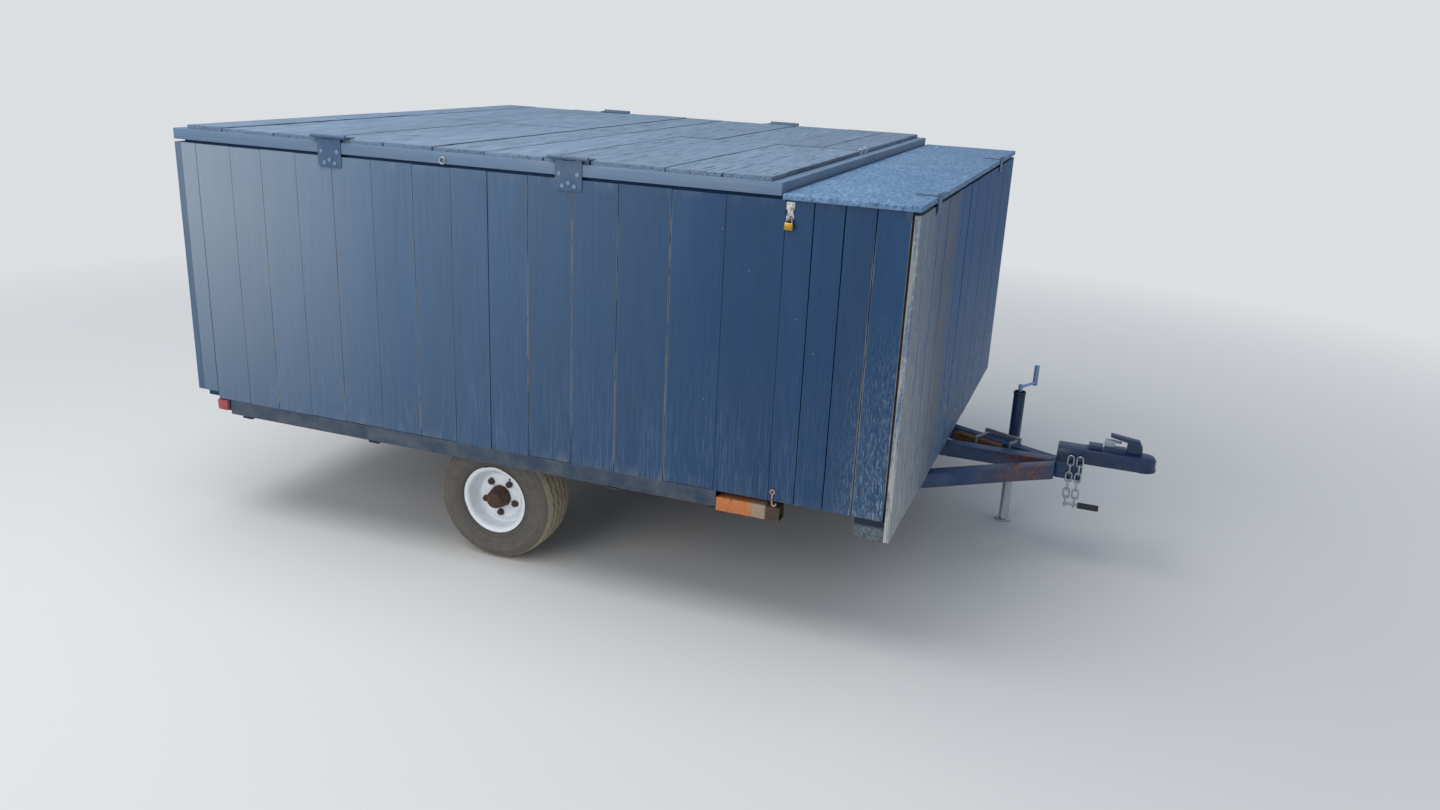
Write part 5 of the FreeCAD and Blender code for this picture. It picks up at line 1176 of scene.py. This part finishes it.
class TRAILER_OT_hasp(TrailerStep, bpy.types.Operator):
    """Shape the hasp and its rivets, the padlock and its shackle, and the near leaf's ring"""
    bl_idname = "trailer.hasp"
    bl_label = "Hasp and padlock"

    def execute(self, context):
        softened("hasp", "hasp", 0.7, 2)
        low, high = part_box("hasp")
        middle = (low.x + high.x) / 2
        rivets = [((middle + x * MM, high.y - 2.5 * MM, high.z - z * MM), (0, -1, 0))
                  for x, z in ((-6, 6), (6, 6), (0, 16))]
        scattered("hasp_rivets", nail_head(2.4, 1.1), rivets, "chassis", "zinc")
        low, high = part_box("padlock")
        middle = (low + high) / 2
        shape = bmesh.new()
        box_into(shape, low, (high.x, high.y, low.z + 0.020))
        softened_edges(shape, 2.2 * MM, 3)
        # The body is stacked from thin plates, which show as ribs on its two narrow sides.
        for index in range(5):
            z = low.z + (0.004 + index * 0.003)
            box_into(shape, (low.x, low.y + 0.6 * MM, z), (high.x, high.y - 0.6 * MM, z + 1.2 * MM))
        finished("padlock_body", shape, "chassis", "brass", ("padlock",))
        shape = bmesh.new()
        r = 8 * MM
        top = Vector((middle.x, middle.y, low.z + 0.025))
        bend = list(arc(top, r, 0, 180, 14))
        foot = low.z + 18 * MM
        bar_into(shape, [(top.x + r, top.y, foot), *bend, (top.x - r, top.y, foot)], 1.9 * MM, 10)
        finished("padlock_shackle", shape, "chassis", "zinc")
        # Ring on the near leaf's side, by which it is lifted
        x, y, z = BOX_REAR + 1.017, -HALF_WIDTH, WALL_TOP + 26 * MM
        shape = bmesh.new()
        ring = list(arc((x, y - 3 * MM, z - 7 * MM), 9.5 * MM, 0, 345, 22))
        bar_into(shape, ring, 2.3 * MM, 8, around=True)
        finished("leaf_ring", shape, "lid_right", "zinc")
        return {"FINISHED"}


class TRAILER_OT_lamps(TrailerStep, bpy.types.Operator):
    """Mould the tail lamps: a black base with a domed red lens"""
    bl_idname = "trailer.lamps"
    bl_label = "Tail lamps"

    def execute(self, context):
        low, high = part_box("tail_lamps")
        bases, lenses = bmesh.new(), bmesh.new()
        wide = 60 * MM
        for y0, y1 in ((low.y, low.y + wide), (high.y - wide, high.y)):
            box_into(bases, (low.x + 0.008, y0 + 0.004, low.z + 0.002), (high.x, y1 - 0.004, high.z))
            box_into(lenses, (low.x, y0, low.z), (low.x + 0.044, y1, high.z - 0.004))
        softened_edges(bases, 2 * MM, 2)
        softened_edges(lenses, 6 * MM, 4)
        finished("lamp_lenses", lenses, "chassis", "lens", ("tail_lamps",))
        finished("lamp_bases", bases, "chassis", "grip")
        return {"FINISHED"}


class TRAILER_OT_frame_steel(TrailerStep, bpy.types.Operator):
    """Finish the rails, cross members, outriggers and stub tubes"""
    bl_idname = "trailer.frame_steel"
    bl_label = "Frame steel"

    def execute(self, context):
        for node in ("side_rail_right", "side_rail_left"):
            softened(node, "black_steel", 3.0, 3)
        for node in ("inner_rails", "cross_members", "outriggers"):
            softened(node, "underside", 1.5, 2)
        softened("stub_tubes", "stub", 2.5, 3)
        return {"FINISHED"}


def weld_into(shape, start, end, radius_mm=3.0):
    """Add a weld bead along a joint: a row of overlapping ripples."""
    start, end = Vector(start), Vector(end)
    count = max(int((end - start).length / (2.4 * MM)), 3)
    heading = (end - start).normalized()
    reference = heading.orthogonal().normalized()
    rings = []
    for index in range(count + 1):
        swell = radius_mm * MM * (0.8 + 0.2 * (index % 2))
        if index in (0, count):
            swell *= 0.45
        middle = start.lerp(end, index / count)
        rings.append(ring_into(shape, middle, swell, reference, heading.cross(reference), 8))
    skin_into(shape, rings)


class TRAILER_OT_axle(TrailerStep, bpy.types.Operator):
    """Finish the axle, the springs and their hangers, and clamp the springs with U-bolts"""
    bl_idname = "trailer.axle"
    bl_label = "Axle and springs"

    def execute(self, context):
        softened("axle", "underside", 2.0, 2)
        softened("leaf_springs", "spring", 0.8, 1, 30)
        softened("spring_hangers", "underside", 1.0, 1, 40)
        beam_low, beam_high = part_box("axle")
        top, bottom = beam_high.z + 26 * MM, beam_low.z - 12 * MM
        reach = 28.5 * MM
        nuts = []
        shape = bmesh.new()
        for side in (-1, 1):
            y = side * (abs(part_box("leaf_springs")[0].y) - 22.5 * MM)
            for x in (WHEEL_X - 26 * MM, WHEEL_X + 26 * MM):
                bend = list(arc((x, y, top - 0.008), reach, 0, 180, 12, (0, 1, 0), (0, 0, 0.5)))
                tip = bottom - 14 * MM
                bar_into(shape, [(x, y + reach, tip), *bend, (x, y - reach, tip)], 4.5 * MM, 8)
                for s in (-1, 1):
                    nuts.append(((x, y + s * reach, bottom + 0.001), (0, 0, -1)))
            half = 42 * MM
            box_into(shape, (WHEEL_X - half, y - half, bottom), (WHEEL_X + half, y + half, bottom + 8 * MM))
        finished("spring_clamps", shape, "chassis", "rusty")
        scattered("spring_clamp_nuts", hex_bolt(14, 9, 9), nuts, "chassis", "nut")
        return {"FINISHED"}


# Radius of the circle of the five wheel nuts, and their angles: one stands straight below the hub
LUG_CIRCLE = 57 * MM
LUG_ANGLES = [-math.pi / 2 + turn * 0.4 * math.pi for turn in range(5)]
# How far the rim's disc and the face that the hub bolts to lie inside the flange
DISC_INSET = 41.7 * MM
SEAT_INSET = 9.8 * MM
# Zigzags of a groove and lugs on a shoulder, each counted once round the tyre
ZIGZAGS, LUGS = 36, 27


class TRAILER_OT_wheels(TrailerStep, bpy.types.Operator):
    """Mould the tyres with zigzag ribs, press the rims and fit hubs, caps and nuts"""
    bl_idname = "trailer.wheels"
    bl_label = "Wheels"

    def execute(self, context):
        for name, side in SIDES:
            low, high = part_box(f"tyre_{name}")
            centre = (low + high) / 2
            rim_low, rim_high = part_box(f"rim_{name}")
            self.flange_y = (rim_high.y - rim_low.y) / 2
            self.seat_y = self.flange_y - DISC_INSET - SEAT_INSET
            self.tyre(name, centre, (high.y - low.y) / 2, (high.z - low.z) / 2)
            self.rim(name, side, centre)
            self.hub(name, side, centre)
        return {"FINISHED"}

    def tyre(self, name, centre, half, radius):
        """The carcass from bead to bead, its crown cut by grooves that zigzag round it."""
        sizes = bpy.context.scene.trailer_wheels
        flange = 0.1145
        # One side of the carcass from the bead outward: (radius, distance inside the widest place)
        wall = [(rise, half - inset) for rise, inset in (
            (0.102, 0.0138), (flange + 0.0005, 0.0136), (flange + 0.005, 0.0105),
            (flange + 0.007, 0.0065), (flange + 0.012, 0.0045), (flange + 0.014, 0.0062),
            (flange + 0.017, 0.0058), (flange + 0.024, 0.0022), (flange + 0.034, 0.0002),
            (flange + 0.046, 0.0006), (flange + 0.056, 0.0020), (flange + 0.058, 0.0010),
            (flange + 0.061, 0.0010), (flange + 0.063, 0.0025), (radius - 0.0225, 0.0040),
            (radius - 0.0165, 0.0060), (radius - 0.011, 0.0090), (radius - 0.0065, 0.0130))]
        reach = half - 16 * MM
        spacing = reach * 2 / 5
        grooves = tuple(spacing * k for k in (-1.5, -0.5, 0.5, 1.5))
        crown = []

        def crowned(y):
            return radius - 0.0005 - 0.0052 * (abs(y) / reach) ** 2.2
        for y in grooves:
            g = sizes.groove / 2
            crown += [(crowned(y - g), y - g, 1, 0), (crowned(y) - sizes.depth, y - g * 0.62, 1, 1),
                      (crowned(y) - sizes.depth, y + g * 0.62, 1, 1), (crowned(y + g), y + g, 1, 0)]
            if y != grooves[-1]:
                crown.append((crowned(y + spacing / 2), y + spacing / 2, 0, 0))
        ring = [(r, -y, 0, 0) for r, y in wall] + crown + [(r, y, 0, 0) for r, y in reversed(wall)]
        shape = bmesh.new()
        edge = shape.verts.layers.float.new("edge")
        rings = []
        for step in range(sizes.steps):
            angle = 2 * math.pi * step / sizes.steps
            phase = (step * ZIGZAGS / sizes.steps) % 1
            swing = (abs(phase * 4 - 2) - 1) * sizes.swing
            lug = 1.2 * MM if (step * 2 * LUGS // sizes.steps) % 2 else 0.0
            verts = []
            for r, y, zigzag, dark in ring:
                if not zigzag and radius - 0.0168 < r < radius - 0.0062 and abs(y) > reach:
                    r -= lug
                vert = shape.verts.new((centre.x + r * math.cos(angle), centre.y + y + swing * zigzag,
                                        centre.z + r * math.sin(angle)))
                # Groove bottoms are marked for the finish, which paints them near black as painted shade
                vert[edge] = dark
                verts.append(vert)
            rings.append(verts)
        skin_into(shape, rings, around=True)
        finished(f"{name}_tyre_tread", shape, f"wheel_{name}", "tyre", (f"tyre_{name}",), 50)

    def rim(self, name, side, centre):
        """The disc, the barrel and the flanges as one pressing, with rust where the paint has failed."""
        low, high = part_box(f"rim_{name}")
        flange = (high.z - low.z) / 2
        out, disc = self.flange_y - 0.0515, self.seat_y
        seat, barrel, bore = 0.1012, 0.0975, 0.0365
        # Outlines as (radius, distance along the axle) from the disc and from behind each lip
        face = [(bore, 0.0065), (bore, 0.0098), (bore + 0.002, 0.0104), (0.044, 0.0104), (0.048, 0.0092),
                (0.066, 0.0092), (0.070, 0.0104), (0.0745, 0.0104), (0.0775, 0.0072), (0.084, -0.0015),
                (0.0935, -0.0048), (barrel - 0.001, -0.0025), (barrel, 0.006)]
        back = [(barrel, -0.0095), (0.090, -0.0085), (0.076, 0.0045), (0.070, 0.0062)]
        lip = [(barrel, 0.036), (barrel + 0.0015, 0.044), (barrel + 0.006, 0.0485),
               (flange - 0.005, 0.0495), (flange - 0.002, 0.0508), (flange - 0.0003, 0.0515),
               (flange, 0.0495), (flange - 0.0015, 0.0485), (flange - 0.005, 0.0476),
               (seat + 0.003, 0.0470), (seat, 0.044)]
        inner_lip = [(seat, 0.044), (seat + 0.003, 0.0470), (flange - 0.005, 0.0476),
                     (flange, 0.0495), (flange - 0.0003, 0.0515), (flange - 0.004, 0.0505),
                     (barrel + 0.004, 0.0475), (barrel, 0.044)]
        outline = [(r, y + disc) for r, y in face] + [(r, y + out) for r, y in lip]
        outline += [(r, -y - out) for r, y in inner_lip] + [(r, y + disc) for r, y in back]
        shape = bmesh.new()
        turned_into(shape, outline, centre, "y", side, 120, around=True)
        rust = shape.verts.layers.float.new("edge")
        rng = random.Random(40 + side)
        spots = [(rng.uniform(0, 2 * math.pi), rng.uniform(0.2, 0.55)) for _ in range(7)]
        for vert in shape.verts:
            across, up = vert.co.x - centre.x, vert.co.z - centre.z
            radius = math.hypot(across, up)
            angle = math.atan2(up, across)
            patch = max(s * max(0, 1 - abs(math.remainder(angle - a, 2 * math.pi)) / 0.35) for a, s in spots)
            near_hub = max(0, 1 - abs(radius - bore) / 0.012)
            near_rim = max(0, 1 - abs(radius - flange) / 0.008) * (0.34 + patch)
            lugs = min(math.hypot(across - LUG_CIRCLE * math.cos(a), up - LUG_CIRCLE * math.sin(a))
                       for a in LUG_ANGLES)
            near_lug = max(0, 1 - max(lugs - 0.011, 0) / 0.006)
            creased = 0.36 if abs(radius - 0.0935) < 0.002 or abs(radius - 0.0775) < 0.001 else 0
            inside = 0.5 if (vert.co.y - centre.y) * side < disc - 0.02 else 0
            vert[rust] = min(1, max(near_hub * 0.6, near_rim, near_lug * 0.8, inside, creased))
        finished(f"{name}_rim_pressing", shape, f"wheel_{name}", "rim", (f"rim_{name}",), 40)
        valve = bmesh.new()
        foot = centre + Vector((0.086 * math.cos(1.0), side * disc, 0.086 * math.sin(1.0)))
        turned_into(valve, [(0.005, 0.0), (0.0048, 0.018), (0.0035, 0.020), (0.0035, 0.030), (0.003, 0.032)],
                    foot, "y", side, 14)
        finished(f"{name}_valve", valve, f"wheel_{name}", "grip")

    def hub(self, name, side, centre):
        """The hub's casting with its flange and its dust cap, and the five nuts on their studs."""
        outline = [(0.0129, -0.038), (0.028, -0.038), (0.030, -0.036), (0.030, -0.0045), (0.069, -0.0042),
                   (0.070, -0.003), (0.070, 0.0048), (0.069, 0.0057), (0.0358, 0.0057), (0.0352, 0.012),
                   (0.0345, 0.028), (0.0335, 0.0315), (0.0322, 0.0325), (0.0322, 0.0345), (0.0312, 0.0352),
                   (0.0306, 0.046), (0.0290, 0.0525), (0.0255, 0.0568), (0.0190, 0.0590), (0.004, 0.060)]
        middle = centre + Vector((0, side * self.seat_y, 0))
        shape = bmesh.new()
        turned_into(shape, outline, middle, "y", side, 64)
        finished(f"{name}_hub_casting", shape, f"wheel_{name}", "rusty", (f"hub_{name}",))
        nuts = [((centre.x + LUG_CIRCLE * math.cos(a), middle.y + side * 9.5 * MM,
                  centre.z + LUG_CIRCLE * math.sin(a)), (0, side, 0)) for a in LUG_ANGLES]
        scattered(f"{name}_wheel_nuts", hex_bolt(19, 10, 11, 3), nuts, f"wheel_{name}", "nut")


class TRAILER_OT_tongue(TrailerStep, bpy.types.Operator):
    """Finish the tongue's beams and its nose block, and weld them together"""
    bl_idname = "trailer.tongue"
    bl_label = "Tongue"

    def execute(self, context):
        for node in ("tongue_beam", "tongue_tube_right", "tongue_beam_left", "tongue_nose"):
            softened(node, "tongue", 3.5, 3)
        low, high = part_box("tongue_nose")
        beam_low, beam_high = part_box("tongue_beam")
        shape = bmesh.new()
        for z in (beam_low.z + 0.002, beam_high.z - 0.001):
            weld_into(shape, (low.x, low.y + 0.004, z), (low.x, high.y - 0.004, z))
        for y in (-0.0255, 0.0255):
            weld_into(shape, (low.x, y, beam_low.z), (low.x, y, beam_high.z))
        # The right beam's bend is a mitred joint.
        x, y = BOX_FRONT + 0.25, -0.140
        for z in (beam_low.z, beam_high.z):
            weld_into(shape, (x - 0.012, y - 0.024, z), (x + 0.004, y + 0.024, z))
        finished("tongue_welds", shape, "chassis", "tongue")
        return {"FINISHED"}


class TRAILER_OT_coupler(TrailerStep, bpy.types.Operator):
    """Round the coupler's shell, latch and lock, and bolt and weld it on"""
    bl_idname = "trailer.coupler"
    bl_label = "Coupler"

    def execute(self, context):
        softened("coupler", "coupler", 2.2, 3, 25)
        softened("coupler_latch", "coupler", 2.5, 3, 25)
        softened("coupler_lock", "lock_shell", 1.8, 3, 30)
        low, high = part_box("tongue_nose")
        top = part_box("coupler")[0].z
        side_bolts = [((low.x + x, side * high.y, top + 16 * MM), (0, side, 0))
                      for x in (18 * MM, 68 * MM) for side in (-1, 1)]
        scattered("coupler_bolts", hex_bolt(16, 8, 12, 4), side_bolts, "chassis", "coupler")
        shape = bmesh.new()
        for y in (low.y + 0.001, high.y - 0.001):
            weld_into(shape, (low.x + 0.004, y, top), (high.x - 0.004, y, top), 2.6)
        finished("coupler_welds", shape, "chassis", "coupler")
        return {"FINISHED"}


class TRAILER_OT_jack(TrailerStep, bpy.types.Operator):
    """Finish the jack and its bracket, and lay a band round each end of its tube"""
    bl_idname = "trailer.jack"
    bl_label = "Jack"

    def execute(self, context):
        for node, coat, width_mm in (("jack_bracket", "zinc", 1.2), ("jack_leg", "zinc", 1.5),
                                     ("jack_crank", "crank_grip", 1.5), ("jack_tube", "coupler", 1.5)):
            softened(node, coat, width_mm)
        low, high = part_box("jack_tube")
        middle = (low + high) / 2
        shape = bmesh.new()
        inner, wide = (high.x - low.x) / 2, 12 * MM
        outer = inner + 1.2 * MM
        for z in (low.z, high.z - wide):
            turned_into(shape, [(inner, 0), (outer, MM), (outer, wide - MM), (inner, wide)],
                        (middle.x, middle.y, z), "z", 1, 40)
        finished("jack_tube_bands", shape, "jack", "coupler")
        return {"FINISHED"}


def chain_link(length_mm, width_mm, wire_mm):
    """One welded link: a round bar bent to a long ring in the XZ plane."""
    shape = bmesh.new()
    straight = (length_mm - width_mm) / 2 * MM
    r = width_mm / 2 * MM
    points = [*arc((0, 0, straight), r, 0, 180, 9), *arc((0, 0, -straight), r, 180, 360, 9)]
    bar_into(shape, points, wire_mm / 2 * MM, 10, around=True)
    return mesh_of("chain_link", shape)


class TRAILER_OT_chains(TrailerStep, bpy.types.Operator):
    """Hang the two safety chains and the bar with its grip through their last links"""
    bl_idname = "trailer.chains"
    bl_label = "Safety chains"

    def execute(self, context):
        low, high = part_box("safety_chains")
        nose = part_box("tongue_nose")[0]
        # Millimetres: the wire, and the length and width of the hole in a link
        wire, inner, gap = 6, 30, 14
        y = nose.y - 14 * MM
        link = chain_link(inner + wire, gap + wire, wire)
        crossed_link = link.copy()
        crossed_link.transform(Matrix.Rotation(math.pi / 2, 4, "Z"))
        flat, crossed = [], []
        for x in (nose.x + 0.050, nose.x + 0.080):
            for index in range(6):
                place = ((x, y, high.z - (inner / 2 + wire) * MM - index * (inner - 0.6) * MM), (0, 0, 1))
                (crossed if index % 2 else flat).append(place)
        first = scattered("chain_links_flat", link, flat, "chassis", "zinc", spin=0.0)
        scattered("chain_links_turned", crossed_link, crossed, "chassis", "zinc", spin=0.0)
        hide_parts("safety_chains")
        bar = low.z + 0.011
        shape = bmesh.new()
        x0, x1 = nose.x + 0.044, high.x
        bar_into(shape, [(x0, y, bar), (x1 - 0.075, y, bar), (x1 - 0.002, y, bar)], 4.8 * MM, 14)
        finished("chain_bar", shape, "chassis", "zinc")
        shape = bmesh.new()
        profile = [(0.0085, 0.0), (0.0106, 0.0012)]
        for ridge in range(8):
            start = (4 + 8 * ridge) * MM
            profile += [(0.0108, start), (0.0108, start + 0.005),
                        (0.0101, start + 0.006), (0.0101, start + 0.007)]
        profile += [(0.0106, 0.0688), (0.0085, 0.07)]
        turned_into(shape, profile, (x1 - 0.07, y, bar), "x", 1, 24)
        finished("chain_grip", shape, "chassis", "grip")
        return {"FINISHED"}


class TRAILER_OT_side_hook(TrailerStep, bpy.types.Operator):
    """Hang the rusty hook on the near wall's lower edge"""
    bl_idname = "trailer.side_hook"
    bl_label = "Side hook"

    def execute(self, context):
        x, y = BOX_REAR + 2.093, -HALF_WIDTH - 4.5 * MM
        # Heights of the middles of the eye and of the curl, and the radius of both
        eye_z, curl_z, r = 0.452, 0.416, 6 * MM
        shape = bmesh.new()
        eye = list(arc((x, y, eye_z), r, -90, 240, 16))
        curl = list(arc((x + r, y, curl_z), r, 180, 380, 12))
        bar_into(shape, [*reversed(eye), (x, y, eye_z - 2 * r), (x, y, curl_z + 8 * MM), *curl], 2.5 * MM, 8)
        finished("side_hook", shape, "chassis", "hook")
        return {"FINISHED"}


STEPS = (
    TRAILER_OT_stage, TRAILER_OT_walls, TRAILER_OT_timber, TRAILER_OT_lid_leaves, TRAILER_OT_front_lid,
    TRAILER_OT_hinges, TRAILER_OT_hasp, TRAILER_OT_lamps, TRAILER_OT_frame_steel, TRAILER_OT_axle,
    TRAILER_OT_wheels, TRAILER_OT_tongue, TRAILER_OT_coupler, TRAILER_OT_jack, TRAILER_OT_chains,
    TRAILER_OT_side_hook,
)
GROUPS = (
    ("trailer_colours", TRAILER_PG_colours),
    ("trailer_boards", TRAILER_PG_boards),
    ("trailer_wheels", TRAILER_PG_wheels),
    ("trailer_stage", TRAILER_PG_stage),
)


class TRAILER_PT_panel(bpy.types.Panel):
    """Sizes, colours and build steps of the trailer"""
    bl_idname = "TRAILER_PT_panel"
    bl_label = "Utility trailer"
    bl_space_type = "VIEW_3D"
    bl_region_type = "UI"
    bl_category = "Trailer"

    def draw(self, context):
        for step in STEPS:
            self.layout.operator(step.bl_idname)
        for attribute, group in GROUPS:
            box = self.layout.box()
            for key in group.__annotations__:
                box.prop(getattr(context.scene, attribute), key)


def register():
    for attribute, group in GROUPS:
        bpy.utils.register_class(group)
        setattr(bpy.types.Scene, attribute, PointerProperty(type=group))
    for step in (*STEPS, TRAILER_PT_panel):
        bpy.utils.register_class(step)


def unregister():
    for step in (*STEPS, TRAILER_PT_panel):
        bpy.utils.unregister_class(step)
    for attribute, group in GROUPS:
        delattr(bpy.types.Scene, attribute)
        bpy.utils.unregister_class(group)


def main():
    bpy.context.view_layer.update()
    register()
    for step in STEPS:
        area, name = step.bl_idname.split(".")
        getattr(getattr(bpy.ops, area), name)()


if __name__ == "__main__":
    main()
